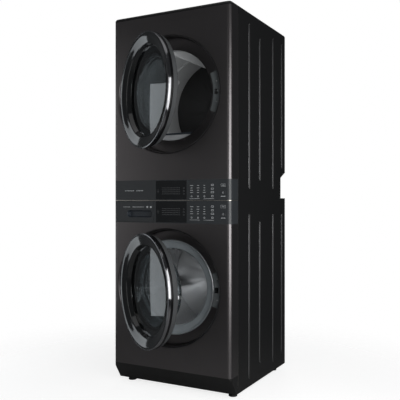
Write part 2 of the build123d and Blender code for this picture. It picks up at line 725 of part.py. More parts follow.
def dispenser_box():
    wall = 2.5
    left, right = DRAWER_LEFT - 4, DRAWER_RIGHT + 4
    low, high = DRAWER_LOW - 1, SEAM_Z - 3
    box = block(left, right, 36, DISPENSER_BACK, low, high)
    box -= block(left + wall, right - wall, 30, DISPENSER_BACK - wall, low + wall, high - wall)
    spout_x, spout_d, spout_r = -150.0, 250.0, 20.0
    spout = rod_z(spout_x, spout_d, spout_r, WASHER_Z + 200, low + 1) - tub_outside()
    box += spout
    return box - rod_z(spout_x, spout_d, spout_r - 3, WASHER_Z + 190, low + wall + 1)


def detergent_drawer():
    front_t = 14.0
    wall = 2.5
    front = wrap_block(0, DRAWER_LOW, DRAWER_HIGH, front_t) & block(
        DRAWER_LEFT, DRAWER_RIGHT, -5, front_t, DRAWER_LOW, DRAWER_HIGH)
    tray = block(TRAY_LEFT, TRAY_RIGHT, front_t - 1, TRAY_BACK, TRAY_LOW, TRAY_HIGH)
    for left, right in zip(CELL_WALLS, CELL_WALLS[1:]):
        tray -= block(left + wall, right - wall, front_t + 18, TRAY_BACK - wall, TRAY_LOW + wall,
                      TRAY_HIGH + 1)
    pull = Plane.XZ * SlotOverall(PULL_W, PULL_H)
    cut = Pos(PULL_X, FRONT + 22, PULL_Z) * extrude(pull, 40)
    return front + tray - cut


def drain_pump():
    x, z, r = AXIS_X, 108.0, 42.0
    body = rod_y(x, z, r, 100, 190) + rod_y(x, z, 27, 190, 250) + rod_y(x, z, 24, 88, 100)
    body += rod_z(x, 155, 24, z, WASHER_Z - 270) - tub_outside()
    body += block(x - 60, x + 60, 110, 180, SIDE_BOTTOM + 2, SIDE_BOTTOM + 8)
    body += block(x - 8, x + 8, 110, 180, SIDE_BOTTOM + 4, z - 30)
    return body + strut((x, 130, z), (x + 70, 130, z + 10), 14)


def inlet_valve(x, z):
    face = WASHER_BACK_D
    thread = face + 2
    valve = rod_y(x, z, VALVE_THREAD_R - 0.5, face - 30, thread + 1) + rod_y(x, z, 19, face - 5, face)
    valve += rod_y(x, z, VALVE_THREAD_R, thread, thread + 16)
    valve += block(x - 17, x + 17, face - 62, face - 24, z - 20, z + 20)
    valve += rod_z(x, face - 45, 8, z - 44, z - 15)
    return valve - rod_y(x, z, VALVE_THREAD_R - 3.5, face - 12, thread + 17)


# ---------------------------------------------------------------- dryer works
def dryer_drum():
    r = DRYER_DRUM_R
    skin = DRUM_SKIN
    mouth = 271.0
    back = DRYER_DRUM_BACK
    outline = [(mouth, DRYER_DRUM_FRONT), (r - 4, DRYER_DRUM_FRONT), (r, DRYER_DRUM_FRONT + 4), (r, back),
               (9, back), (9, back + 30), (0, back + 30), (0, back - 12), (70, back - 12),
               (110, back - skin), (r - skin, back - skin), (r - skin, DRYER_DRUM_FRONT + 5),
               (mouth, DRYER_DRUM_FRONT + skin)]
    return lathe(outline, AXIS_X, DRYER_Z)


def drum_vane(angle):
    """Pressed baffle screwed to the dryer drum wall."""
    inner = DRYER_DRUM_R - DRUM_SKIN
    length = 420.0
    root = rod_y(AXIS_X, DRYER_Z, inner, DRYER_DRUM_FRONT + 30, DRYER_DRUM_BACK - 30)
    section = make_face(Polyline((-26, inner + 4), (-7, inner - VANE_H), (7, inner - VANE_H),
                                 (26, inner + 4), close=True))
    vane = Pos(AXIS_X, FRONT + DRYER_DRUM_BACK - 35, DRYER_Z) * extrude(Plane.XZ * section, length)
    return turned(vane, angle, AXIS_X, DRYER_Z) & root


def dryer_bulkhead():
    """Front bulkhead: a wall, the throat to the door opening, the drum's slide ring and the lint duct."""
    wall = lathe([(DRYER_OPENING_R + 4, 94), (306, 94), (306, 97), (DRYER_OPENING_R + 4, 97)],
                 AXIS_X, DRYER_Z)
    wall += block(-INNER_X, INNER_X, 94, 97, 1090, DRYER_Z) - rod_y(AXIS_X, DRYER_Z, 290, 90, 100)
    throat = lathe([(DRYER_OPENING_R, DISH_D + SHEET), (DRYER_OPENING_R + 6, DISH_D + SHEET),
                    (DRYER_OPENING_R + 8, 94), (266, 97), (266, 128), (263, 128), (263, 99),
                    (DRYER_OPENING_R + 4, 97), (DRYER_OPENING_R + 3, 60), (DRYER_OPENING_R, 58)],
                   AXIS_X, DRYER_Z)
    duct_half = LINT_HALF + 8
    duct = block(AXIS_X - duct_half, AXIS_X + duct_half, LINT_D0 - 8, 94, 1060, DRYER_Z - 200)
    hollow = block(AXIS_X - duct_half + 3, AXIS_X + duct_half - 3, LINT_D0 - 5, 95, 1063, DRYER_Z - 120)
    slot = block(AXIS_X - LINT_HALF - 1, AXIS_X + LINT_HALF + 1, LINT_D0 - 1, LINT_D1 + 1,
                 LINT_LOW - 2, DRYER_Z - 120)
    bulkhead = wall + throat + duct - hollow
    bulkhead += block(AXIS_X - duct_half + 3, AXIS_X + duct_half - 3, LINT_D0 - 8, 94, LINT_LOW - 6,
                      LINT_LOW - 2) - block(AXIS_X - 90, AXIS_X + 90, LINT_D0, 90, 1100, 1200)
    return bulkhead - slot


def lint_filter():
    """Lift-out cassette with a grille lip at the bottom of the load opening."""
    screen = block(AXIS_X - LINT_HALF, AXIS_X + LINT_HALF, LINT_D0, LINT_D1, LINT_LOW, LINT_TOP - 6)
    cap = block(AXIS_X - LINT_HALF - 0.8, AXIS_X + LINT_HALF + 0.8, LINT_D0 - 8, LINT_D1 + 10,
                LINT_TOP - 8, LINT_TOP)
    cap = fillet(cap.edges().group_by(Axis.Z)[-1], 3)
    part = screen + cap
    bars = 12
    step = 2 * LINT_HALF / bars
    for i in range(bars):
        left = AXIS_X - LINT_HALF + i * step + 3
        part -= block(left, left + step - 6, LINT_D0 + 3, LINT_D1 - 3, LINT_LOW + 4, LINT_TOP + 1)
    return part


def belt_normal(big, big_r, small, small_r):
    """Outward normal, in (x, z), of the belt's left-hand straight run."""
    dx, dz = small[0] - big[0], small[1] - big[1]
    angle = atan2(dz, dx) - acos((big_r - small_r) / hypot(dx, dz))
    return cos(angle), sin(angle)


def idler_centre():
    big, small = (AXIS_X, DRYER_Z), (DRYER_MOTOR_X, DRYER_MOTOR_Z)
    nx, nz = belt_normal(big, DRYER_DRUM_R, small, DRYER_PULLEY_R)
    share = 0.62
    near = (big[0] + DRYER_DRUM_R * nx, big[1] + DRYER_DRUM_R * nz)
    far = (small[0] + DRYER_PULLEY_R * nx, small[1] + DRYER_PULLEY_R * nz)
    off = 2 * BELT_GAP + BELT_T + IDLER_R
    return tuple(a + (b - a) * share + off * n for a, b, n in zip(near, far, (nx, nz)))


def dryer_motor():
    x, z = DRYER_MOTOR_X, DRYER_MOTOR_Z
    body = rod_y(x, z, DRYER_MOTOR_R, 196, 326)
    body = chamfer(body.edges().filter_by(GeomType.CIRCLE), 4)
    body += block(x - 42, x + 42, 215, 310, SEAM_Z + 2, z)
    ix, iz = idler_centre()
    arm_d = DRYER_BELT_D + 14
    post_x = -41.0
    body += block(x - 12, x + 12, 300, arm_d + 4, SEAM_Z + 2, SEAM_Z + 20)
    body += block(post_x, x + 12, arm_d, arm_d + 4, SEAM_Z + 2, SEAM_Z + 20)
    body += block(post_x, post_x + 18, arm_d, arm_d + 4, SEAM_Z + 2, iz + 9)
    body += block(ix - 9, post_x + 2, arm_d, arm_d + 4, iz - 9, iz + 9)
    body += rod_y(ix, iz, IDLER_AXLE_R, DRYER_BELT_D - 12, arm_d + 1)
    return body - rod_y(x, z, MOTOR_SHAFT_R + RUNNING, 150, 345)


def dryer_idler_pulley():
    ix, iz = idler_centre()
    wheel = rod_y(ix, iz, IDLER_R, DRYER_BELT_D - 9, DRYER_BELT_D + 9)
    wheel -= rod_y(ix, iz, IDLER_R - 6, DRYER_BELT_D + 5, DRYER_BELT_D + 10)
    return wheel - rod_y(ix, iz, IDLER_AXLE_R + RUNNING, DRYER_BELT_D - 20, DRYER_BELT_D + 20)


def blower_housing():
    """Blower scroll and the exhaust duct to the back of the cabinet."""
    x, z = DRYER_MOTOR_X, DRYER_MOTOR_Z
    wall = 2.5
    left = EXHAUST_X - EXHAUST_R

    def scroll(t):
        part = rod_y(x, z, SCROLL_R - t, SCROLL_D0 + t, SCROLL_D1 - t)
        return part + block(left + t, x, SCROLL_D0 + t, SCROLL_D1 - t, z - SCROLL_R + t,
                            EXHAUST_Z + EXHAUST_R - t)

    collar = RECESS_D + SHEET + 0.5
    duct = rod_y(EXHAUST_X, EXHAUST_Z, EXHAUST_R - 0.6, SCROLL_D1 - 1, collar + 1)
    duct += rod_y(EXHAUST_X, EXHAUST_Z, EXHAUST_R, collar, DEPTH)
    part = scroll(0) + duct - scroll(wall)
    part -= rod_y(EXHAUST_X, EXHAUST_Z, EXHAUST_R - 1.8, SCROLL_D1 - 10, DEPTH + 1)
    part -= rod_y(x, z, 46, SCROLL_D0 - 1, SCROLL_D0 + 5)
    part -= rod_y(x, z, 12, SCROLL_D1 - 5, SCROLL_D1 + 1)
    return part


def blower_wheel():
    x, z = DRYER_MOTOR_X, DRYER_MOTOR_Z
    outer, inner = 86.0, 62.0
    d0, d1 = SCROLL_D0 + 10, SCROLL_D1 - 8
    wheel = rod_y(x, z, outer, d1 - 2, d1) + rod_y(x, z, 16, d0 + 20, d1)
    wheel += rod_y(x, z, outer, d0, d0 + 2) - rod_y(x, z, inner, d0 - 1, d0 + 3)
    blades = 20
    for i in range(blades):
        blade = block(x + inner + 2, x + outer - 1, d0 + 1, d1 - 1, z - 1, z + 1)
        wheel += turned(blade, i * 360 / blades, x, z)
    return wheel - rod_y(x, z, MOTOR_SHAFT_R, d0 - 5, d1 + 5)


def heater_box():
    """Air heater duct behind the drum, with the drum's rear bearing."""
    low, high = 1260.0, 1640.0
    left, right = AXIS_X - 110, AXIS_X + 110
    front, back = DRYER_DRUM_BACK + 18, DRYER_BACK_D - 1
    box = block(left, right, front, back, low, high)
    box -= block(left + 2, right - 2, front + 2, back - 2, low + 2, high - 2)
    box += rod_y(AXIS_X, DRYER_Z, 26, DRYER_DRUM_BACK + 6, back - 1)
    rows = 5
    for i in range(rows):
        z = low + 26 + i * 34
        box -= block(left + 20, right - 20, front - 1, front + 3, z, z + 14)
    return box - rod_y(AXIS_X, DRYER_Z, 9 + RUNNING, DRYER_DRUM_BACK, DRYER_DRUM_BACK + 34)


# ---------------------------------------------------------------- every node and its solids
def as_solids(shape):
    pieces = shape if isinstance(shape, (list, tuple)) else [shape]
    return [solid for piece in pieces for solid in piece.solids()]


def door_nodes(name, axis_z, frame, bowl):
    return {
        name + "_ring": ajar(door_ring(axis_z)),
        name + "_trim": ajar(door_trim(axis_z)),
        name + "_window": ajar(door_window(axis_z)),
        name + "_frame": ajar(frame),
        name + "_bowl": ajar(bowl),
        name + "_hinge": ajar(door_hinge_leaf(axis_z)),
    }


def all_nodes():
    washer_keys = key_heights(BAND_MIDDLE)
    dryer_keys = key_heights(BAND_TOP)
    washer_axis = (AXIS_X, WASHER_Z)
    dryer_axis = (AXIS_X, DRYER_Z)
    washer_motor_axis = (WASHER_MOTOR_X, WASHER_MOTOR_Z)
    dryer_motor_axis = (DRYER_MOTOR_X, DRYER_MOTOR_Z)
    dryer_sides = side_panel(SEAM_Z, HEIGHT - TOP_LID, DRYER_BEADS) - rear_recess_cut()
    nodes = {
        "base_pan": base_pan(),
        "levelling_feet": [levelling_foot(x, d) for x, d in FEET],
        "kick_panel": kick_panel(),
        "washer_side_panels": both_sides(side_panel(SIDE_BOTTOM, SEAM_Z, WASHER_BEADS)),
        "washer_back_panel": washer_back_panel(),
        "washer_front_panel": washer_front_panel(),
        "mid_deck": mid_deck(),
        "dryer_side_panels": both_sides(dryer_sides),
        "dryer_back_panel": dryer_back_panel(),
        "dryer_front_panel": front_panel(BAND_TOP, HEIGHT - TOP_LID, DRYER_Z, DRYER_OPENING_R) - catch_slot(),
        "top_panel": top_panel(),
        "washer_fascia": washer_fascia(),
        "dryer_fascia": dryer_fascia(),
        "fascia_trim": fascia_trim(),
        "display_windows": [display_window(BAND_BOTTOM, BAND_MIDDLE - TRIM_HEIGHT / 2),
                            display_window(BAND_MIDDLE + TRIM_HEIGHT / 2, BAND_TOP)],
        "panel_screws": [panel_screw(*place) for place in screw_places()],
        "door_hinge_brackets": [door_hinge_bracket(WASHER_Z), door_hinge_bracket(DRYER_Z)],
        "lock_plates": [lock_plate(WASHER_Z, 246, 276, 20, lock_slot()),
                        lock_plate(DRYER_Z, 240, 280, 24, catch_slot())],
        "washer_door_hook": ajar(washer_door_hook()),
        "dryer_door_catch": ajar(dryer_door_catch()),
        "washer_tub": washer_tub(),
        "washer_bellows": washer_bellows(),
        "washer_drum": washer_drum(),
        "washer_drum_lifters": [drum_lifter(angle) for angle in LIFTER_ANGLES],
        "washer_drum_pulley": washer_drum_pulley(),
        "washer_motor": washer_motor(),
        "washer_motor_pulley": motor_spindle(*washer_motor_axis, WASHER_MOTOR_PULLEY_R, 560, WASHER_BELT_D),
        "drive_belts": [belt(washer_axis, WASHER_PULLEY_R, washer_motor_axis, WASHER_MOTOR_PULLEY_R,
                             WASHER_BELT_D),
                        belt(dryer_axis, DRYER_DRUM_R, dryer_motor_axis, DRYER_PULLEY_R, DRYER_BELT_D)],
        "washer_counterweight": washer_counterweight(),
        "tub_suspension": [tub_damper(-1), tub_damper(1), tub_spring(-1), tub_spring(1)],
        "dispenser_box": dispenser_box(),
        "detergent_drawer": detergent_drawer(),
        "drain_pump": drain_pump(),
        "inlet_valves": [inlet_valve(x, z) for x, z in VALVES],
        "dryer_drum": dryer_drum(),
        "dryer_drum_vanes": [drum_vane(angle) for angle in VANE_ANGLES],
        "dryer_bulkhead": dryer_bulkhead(),
        "lint_filter": lint_filter(),
        "dryer_motor": dryer_motor(),
        "dryer_motor_pulley": motor_spindle(*dryer_motor_axis, DRYER_PULLEY_R, SCROLL_D0 + 30, DRYER_BELT_D),
        "blower_wheel": blower_wheel(),
        "dryer_idler_pulley": dryer_idler_pulley(),
        "blower_housing": blower_housing(),
        "heater_box": heater_box(),
        "washer_power_key": key(washer_keys["power"]),
        "washer_start_key": key(washer_keys["start"]),
        "dryer_power_key": key(dryer_keys["power"]),
        "dryer_start_key": key(dryer_keys["start"]),
    }
    nodes.update(door_nodes("washer_door", WASHER_Z, washer_door_frame(), door_bowl(WASHER_Z, 140, 148)))
    nodes.update(door_nodes("dryer_door", DRYER_Z, door_frame(DRYER_Z), door_bowl(DRYER_Z, 78, 166)))
    return nodes


os.makedirs("parts", exist_ok=True)
for node, shape in all_nodes().items():
    solids = as_solids(shape)
    whole = solids[0] if len(solids) == 1 else Compound(children=solids)
    export_step(whole, "parts/" + node + ".step")
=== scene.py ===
import json
from math import atan2, cos, exp, hypot, pi, radians, sin, sqrt

import bmesh
import bpy
from mathutils import Matrix, Vector


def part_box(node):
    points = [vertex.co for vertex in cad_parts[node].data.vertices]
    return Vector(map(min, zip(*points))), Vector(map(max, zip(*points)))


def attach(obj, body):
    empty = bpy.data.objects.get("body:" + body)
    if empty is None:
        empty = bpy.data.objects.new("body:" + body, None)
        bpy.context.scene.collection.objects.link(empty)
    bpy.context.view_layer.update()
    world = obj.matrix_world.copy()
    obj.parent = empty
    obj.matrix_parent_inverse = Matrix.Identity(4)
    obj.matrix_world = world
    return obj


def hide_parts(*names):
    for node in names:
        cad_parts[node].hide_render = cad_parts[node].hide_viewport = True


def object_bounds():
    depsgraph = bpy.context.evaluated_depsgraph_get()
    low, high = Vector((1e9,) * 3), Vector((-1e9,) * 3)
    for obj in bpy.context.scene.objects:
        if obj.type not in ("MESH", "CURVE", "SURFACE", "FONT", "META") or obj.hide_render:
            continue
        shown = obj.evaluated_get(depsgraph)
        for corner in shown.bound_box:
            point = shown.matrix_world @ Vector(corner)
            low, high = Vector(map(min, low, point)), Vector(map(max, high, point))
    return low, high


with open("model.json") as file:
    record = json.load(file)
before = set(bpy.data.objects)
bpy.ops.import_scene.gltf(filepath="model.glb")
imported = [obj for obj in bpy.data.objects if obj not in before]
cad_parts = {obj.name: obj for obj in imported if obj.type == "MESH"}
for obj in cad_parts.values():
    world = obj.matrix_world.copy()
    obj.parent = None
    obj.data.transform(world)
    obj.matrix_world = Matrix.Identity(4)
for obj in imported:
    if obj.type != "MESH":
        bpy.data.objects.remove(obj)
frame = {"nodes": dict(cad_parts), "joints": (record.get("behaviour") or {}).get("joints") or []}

# A stacked washer and dryer. Everything is in metres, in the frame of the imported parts:
# X to the viewer's right, Y from front to back, Z up. Depths are counted from the cabinet's front plane.
CAD_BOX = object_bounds()
MM = 0.001

# ---------------------------------------------------------------- places read from the frame
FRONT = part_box("washer_front_panel")[0].y
AXIS_X = (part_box("washer_drum")[0].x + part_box("washer_drum")[1].x) / 2
WASHER_Z = (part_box("washer_door_trim")[0].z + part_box("washer_door_trim")[1].z) / 2
DRYER_Z = (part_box("dryer_door_trim")[0].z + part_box("dryer_door_trim")[1].z) / 2
DOOR_R = (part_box("washer_door_trim")[1].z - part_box("washer_door_trim")[0].z) / 2
WINDOW_R = (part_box("washer_door_window")[1].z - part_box("washer_door_window")[0].z) / 2 - 3 * MM
WASHER_DRUM_R = (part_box("washer_drum")[1].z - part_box("washer_drum")[0].z) / 2
DRYER_DRUM_R = (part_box("dryer_drum")[1].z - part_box("dryer_drum")[0].z) / 2
JOINTS = {joint["name"]: joint for joint in frame["joints"]}
AJAR = -JOINTS["washer_door_hinge"]["range_deg"][0]

# ---------------------------------------------------------------- sizes of the looks
CREST = -12 * MM
PANE_DEPTH = 22.4 * MM
BOWL_SEAT_R = 186 * MM
LIFTER_ANGLES = (20, 140, 260)
VANE_ANGLES = (108, 228, 348)


def depth(millimetres):
    """The Y of a place this far behind the front plane."""
    return FRONT + millimetres * MM


def mm_outline(points):
    """(radius, depth) pairs in millimetres become (radius, y) in metres."""
    return [(r * MM, depth(d)) for r, d in points]


# ---------------------------------------------------------------- mesh helpers
def soften(points, radius, steps=4):
    """Round the corners of a closed outline. Points on the turning axis stay sharp."""
    out = []
    count = len(points)
    for i, point in enumerate(points):
        here = Vector(point)
        if abs(here.x) < 1e-7:
            out.append(tuple(here))
            continue
        before = Vector(points[i - 1]) - here
        after = Vector(points[(i + 1) % count]) - here
        cut = min(radius, before.length * 0.45, after.length * 0.45)
        start = here + before.normalized() * cut
        end = here + after.normalized() * cut
        for k in range(steps + 1):
            t = k / steps
            out.append(tuple(start * (1 - t) ** 2 + here * 2 * t * (1 - t) + end * t * t))
    return out


def curved(points, per=8):
    """An open smooth line through a few points."""
    line = []
    for i in range(len(points) - 1):
        a = Vector(points[max(i - 1, 0)])
        b, c = Vector(points[i]), Vector(points[i + 1])
        d = Vector(points[min(i + 2, len(points) - 1)])
        for k in range(per):
            t = k / per
            line.append(0.5 * (2 * b + (c - a) * t + (2 * a - 5 * b + 4 * c - d) * t * t
                               + (3 * b - a - 3 * c + d) * t ** 3))
    line.append(Vector(points[-1]))
    return line


def ribbon(points, thickness):
    """Closed outline of a strip of even thickness along a smooth line."""
    line = curved(points)
    left, right = [], []
    for i, p in enumerate(line):
        run = (line[min(i + 1, len(line) - 1)] - line[max(i - 1, 0)]).normalized()
        side = Vector((-run.y, run.x)) * thickness / 2
        left.append(tuple(p + side))
        right.append(tuple(p - side))
    return left + right[::-1]


def turn(outline, x, z, steps=192, start=0.0, sweep=360.0):
    """Turn a closed (radius, y) outline about the front-to-back axis through (x, z)."""
    bm = bmesh.new()
    whole = sweep >= 360.0
    rows = []
    for i in range(steps if whole else steps + 1):
        a = radians(start + sweep * i / steps)
        rows.append([bm.verts.new((x + r * cos(a), y, z + r * sin(a))) for r, y in outline])
    count = len(outline)
    for i in range(steps):
        near, far = rows[i], rows[(i + 1) % len(rows)]
        for j in range(count):
            k = (j + 1) % count
            bm.faces.new((near[j], near[k], far[k], far[j]))
    if not whole:
        bm.faces.new(rows[0])
        bm.faces.new(rows[-1][::-1])
    bmesh.ops.remove_doubles(bm, verts=bm.verts, dist=1e-6)
    return bm


def join_loops(bm, near, far):
    """Close the gap between two loops of the same length with a band of faces."""
    count = len(near)
    for i in range(count):
        j = (i + 1) % count
        bm.faces.new((near[i], far[i], far[j], near[j]))


def slab(bm, outline, y0, y1):
    """Add a solid with a closed (x, z) outline between two depths."""
    near = [bm.verts.new((x, y0, z)) for x, z in outline]
    far = [bm.verts.new((x, y1, z)) for x, z in outline]
    bm.faces.new(near)
    bm.faces.new(far[::-1])
    join_loops(bm, near, far)
    return bm


def hoop(bm, outer, inner, y0, y1):
    """Add a closed frame between two outlines with the same number of points."""
    loops = [[bm.verts.new((x, y, z)) for x, z in line] for line, y in
             ((outer, y0), (outer, y1), (inner, y1), (inner, y0))]
    for a in range(4):
        join_loops(bm, loops[a], loops[(a + 1) % 4])
    return bm


def pill(x, z, width, height, radius=None, steps=5):
    """Rounded rectangle outline."""
    r = min(width, height) / 2 if radius is None else radius
    points = []
    for sx, sz, first in ((1, 1, 0), (-1, 1, 90), (-1, -1, 180), (1, -1, 270)):
        for k in range(steps + 1):
            a = radians(first + 90 * k / steps)
            points.append((x + sx * (width / 2 - r) + r * cos(a), z + sz * (height / 2 - r) + r * sin(a)))
    return points


def piece(name, bm, material, body, crease=35.0, place=None):
    """Finish a mesh: smooth faces with sharp creases, a material, a body to ride on."""
    if place is not None:
        bm.transform(place)
    bmesh.ops.recalc_face_normals(bm, faces=bm.faces)
    mesh = bpy.data.meshes.new(name)
    bm.to_mesh(mesh)
    bm.free()
    mesh.materials.append(material)
    mesh.polygons.foreach_set("use_smooth", [True] * len(mesh.polygons))
    mesh.set_sharp_from_angle(angle=radians(crease))
    made = bpy.data.objects.new(name, mesh)
    bpy.context.scene.collection.objects.link(made)
    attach(made, body)
    return made


# ---------------------------------------------------------------- materials
def link(tree, a, out, b, into):
    tree.links.new(a.outputs[out], b.inputs[into])


def surface(name, base, rough, metallic=0.0, vary=0.10, cloud=5.0, grain=700.0, bump=0.15, depth_mm=0.05,
            smudge=0.05, stretch=(1.0, 1.0, 1.0), **sockets):
    """Principled surface with slow colour variation, uneven gloss and a fine grain."""
    material = bpy.data.materials.new(name)
    material.use_nodes = True
    tree = material.node_tree
    shader = tree.nodes["Principled BSDF"]
    shader.inputs["Metallic"].default_value = metallic
    for socket, value in sockets.items():
        shader.inputs[socket.replace("_", " ")].default_value = value
    where = tree.nodes.new("ShaderNodeTexCoord")
    scale = tree.nodes.new("ShaderNodeMapping")
    scale.inputs["Scale"].default_value = stretch
    link(tree, where, "Object", scale, "Vector")
    slow = tree.nodes.new("ShaderNodeTexNoise")
    slow.inputs["Scale"].default_value = cloud
    slow.inputs["Detail"].default_value = 3.0
    link(tree, where, "Object", slow, "Vector")
    fine = tree.nodes.new("ShaderNodeTexNoise")
    fine.inputs["Scale"].default_value = grain
    fine.inputs["Detail"].default_value = 4.0
    link(tree, scale, "Vector", fine, "Vector")
    tone = tree.nodes.new("ShaderNodeValToRGB")
    tone.color_ramp.elements[0].position = 0.3
    tone.color_ramp.elements[1].position = 0.7
    tone.color_ramp.elements[0].color = tuple(c * (1 - vary) for c in base) + (1.0,)
    tone.color_ramp.elements[1].color = tuple(min(1.0, c * (1 + vary)) for c in base) + (1.0,)
    link(tree, slow, "Fac", tone, "Fac")
    link(tree, tone, "Color", shader, "Base Color")
    gloss = tree.nodes.new("ShaderNodeMapRange")
    gloss.inputs["From Min"].default_value = 0.3
    gloss.inputs["From Max"].default_value = 0.7
    gloss.inputs["To Min"].default_value = max(0.0, rough - smudge)
    gloss.inputs["To Max"].default_value = min(1.0, rough + smudge)
    mix = tree.nodes.new("ShaderNodeMath")
    mix.operation = "MULTIPLY_ADD"
    mix.inputs[1].default_value = 0.4
    link(tree, fine, "Fac", mix, 0)
    half = tree.nodes.new("ShaderNodeMath")
    half.operation = "MULTIPLY"
    half.inputs[1].default_value = 0.6
    link(tree, slow, "Fac", half, 0)
    link(tree, half, "Value", mix, 2)
    link(tree, mix, "Value", gloss, "Value")
    link(tree, gloss, "Result", shader, "Roughness")
    relief = tree.nodes.new("ShaderNodeBump")
    relief.inputs["Strength"].default_value = bump
    relief.inputs["Distance"].default_value = depth_mm * MM
    link(tree, fine, "Fac", relief, "Height")
    link(tree, relief, "Normal", shader, "Normal")
    return material


def spangled(name, base, rough):
    """Galvanised sheet: crystal patches of slightly different brightness and gloss."""
    material = surface(name, base, rough, metallic=1.0, vary=0.06, grain=500.0, bump=0.08)
    tree = material.node_tree
    shader = tree.nodes["Principled BSDF"]
    where = tree.nodes["Texture Coordinate"]
    crystals = tree.nodes.new("ShaderNodeTexVoronoi")
    crystals.inputs["Scale"].default_value = 70.0
    link(tree, where, "Object", crystals, "Vector")
    grey = tree.nodes.new("ShaderNodeRGBToBW")
    link(tree, crystals, "Color", grey, "Color")
    tone = tree.nodes.new("ShaderNodeValToRGB")
    tone.color_ramp.elements[0].color = tuple(c * 0.82 for c in base) + (1.0,)
    tone.color_ramp.elements[1].color = tuple(min(1.0, c * 1.15) for c in base) + (1.0,)
    link(tree, grey, "Val", tone, "Fac")
    link(tree, tone, "Color", shader, "Base Color")
    gloss = tree.nodes.new("ShaderNodeMapRange")
    gloss.inputs["To Min"].default_value = rough - 0.08
    gloss.inputs["To Max"].default_value = rough + 0.1
    link(tree, grey, "Val", gloss, "Value")
    link(tree, gloss, "Result", shader, "Roughness")
    return material


def glass(name, base, rough, smears):
    """Clear or smoked glass with faint smears in its gloss."""
    return surface(name, base, rough, vary=0.03, cloud=8.0, grain=60.0, bump=0.01, depth_mm=0.01,
                   smudge=smears, Transmission_Weight=1.0, IOR=1.5)


BRUSH_ACROSS = (1.0, 1.0, 24.0)
BRUSH_ALONG = (24.0, 1.0, 1.0)
FINISH = {
    "titanium_steel": surface("dark_titanium_steel", (0.130, 0.122, 0.124), 0.34, metallic=1.0, vary=0.05,
                              cloud=2.0, grain=160.0, bump=0.10, depth_mm=0.02, smudge=0.04,
                              stretch=BRUSH_ACROSS),
    "black_steel": surface("black_enamel_steel", (0.0050, 0.0050, 0.0052), 0.42, vary=0.10, cloud=3.0,
                           grain=420.0, bump=0.12, depth_mm=0.05, smudge=0.05, Specular_IOR_Level=0.35),
    "zinc_steel": spangled("galvanised_steel", (0.46, 0.47, 0.48), 0.38),
    "fascia_grey": surface("fascia_grey_coat", (0.023, 0.026, 0.029), 0.40, vary=0.07, cloud=4.0, grain=900.0,
                           bump=0.12, depth_mm=0.03, smudge=0.04),
    "bright_trim": surface("satin_bright_trim", (0.42, 0.40, 0.36), 0.28, metallic=1.0, vary=0.06,
                           grain=300.0, bump=0.08, stretch=BRUSH_ALONG),
    "black_gloss": surface("black_gloss_lacquer", (0.011, 0.012, 0.013), 0.08, vary=0.10, cloud=3.0,
                           grain=90.0, bump=0.015, depth_mm=0.02, smudge=0.02, Coat_Weight=0.45,
                           Coat_Roughness=0.03),
    "chrome_trim": surface("dark_chrome", (0.25, 0.25, 0.26), 0.07, metallic=1.0, vary=0.03, cloud=6.0,
                           grain=200.0, bump=0.01, depth_mm=0.01, smudge=0.02),
    "tinted_glass": glass("smoked_glass", (0.22, 0.24, 0.25), 0.03, 0.012),
    "clear_glass": glass("clear_bowl_glass", (0.90, 0.94, 0.95), 0.02, 0.010),
    "dark_plastic": surface("dark_moulded_plastic", (0.055, 0.058, 0.060), 0.46, vary=0.08, cloud=9.0,
                            grain=1100.0, bump=0.25, depth_mm=0.05, smudge=0.06),
    "grey_plastic": surface("grey_moulded_plastic", (0.30, 0.31, 0.32), 0.45, vary=0.06, cloud=9.0,
                            grain=1000.0, bump=0.20, depth_mm=0.05, smudge=0.06),
    "blue_grey_plastic": surface("blue_grey_plastic", (0.022, 0.028, 0.036), 0.40, vary=0.06, cloud=12.0,
                                 grain=900.0, bump=0.20, depth_mm=0.04, smudge=0.05),
    "rubber": surface("grey_rubber", (0.21, 0.235, 0.25), 0.58, vary=0.10, cloud=14.0, grain=600.0, bump=0.30,
                      depth_mm=0.08, smudge=0.08),
    "stainless_steel": surface("brushed_stainless", (0.50, 0.51, 0.52), 0.38, metallic=1.0, vary=0.05,
                               cloud=6.0, grain=220.0, bump=0.12, depth_mm=0.02, smudge=0.05,
                               stretch=(1.0, 18.0, 1.0)),
    "drum_paint": surface("drum_powder_coat", (0.34, 0.35, 0.355), 0.42, vary=0.06, cloud=7.0, grain=1300.0,
                          bump=0.30, depth_mm=0.06, smudge=0.06),
    "cast_metal": surface("cast_aluminium", (0.42, 0.42, 0.43), 0.48, metallic=1.0, vary=0.12, cloud=20.0,
                          grain=500.0, bump=0.40, depth_mm=0.15, smudge=0.08),
    "cast_iron": surface("raw_cast_iron", (0.10, 0.10, 0.105), 0.62, metallic=0.6, vary=0.18, cloud=18.0,
                         grain=350.0, bump=0.60, depth_mm=0.30, smudge=0.10),
}
INK = surface("legend_ink", (0.42, 0.44, 0.45), 0.55, vary=0.08, cloud=30.0, grain=1500.0, bump=0.05)
FAINT_INK = surface("display_ink", (0.050, 0.052, 0.055), 0.5, vary=0.08, cloud=30.0, grain=1500.0,
                    bump=0.05)
FOOT_RUBBER = surface("black_foot_rubber", (0.016, 0.016, 0.017), 0.62, vary=0.15, cloud=20.0, grain=700.0,
                      bump=0.35, depth_mm=0.08)
LABEL = surface("plain_label_foil", (0.55, 0.55, 0.54), 0.42, metallic=0.3, vary=0.04, cloud=12.0,
                grain=400.0, bump=0.05)
RING_SATIN = surface("satin_black_ring", (0.010, 0.0108, 0.0115), 0.30, vary=0.08, cloud=5.0, grain=700.0,
                     bump=0.05, depth_mm=0.02, smudge=0.04, Specular_IOR_Level=0.28)
# Near-black coat for the rim's tail: a painted dark reflection in place of the chrome.
RIM_DARK_REFLECTION_PAINT = surface("rim_painted_dark_reflection", (0.004, 0.004, 0.0045), 0.22, vary=0.10, cloud=5.0, grain=500.0, bump=0.04,
                    depth_mm=0.02, smudge=0.04, Specular_IOR_Level=0.15)
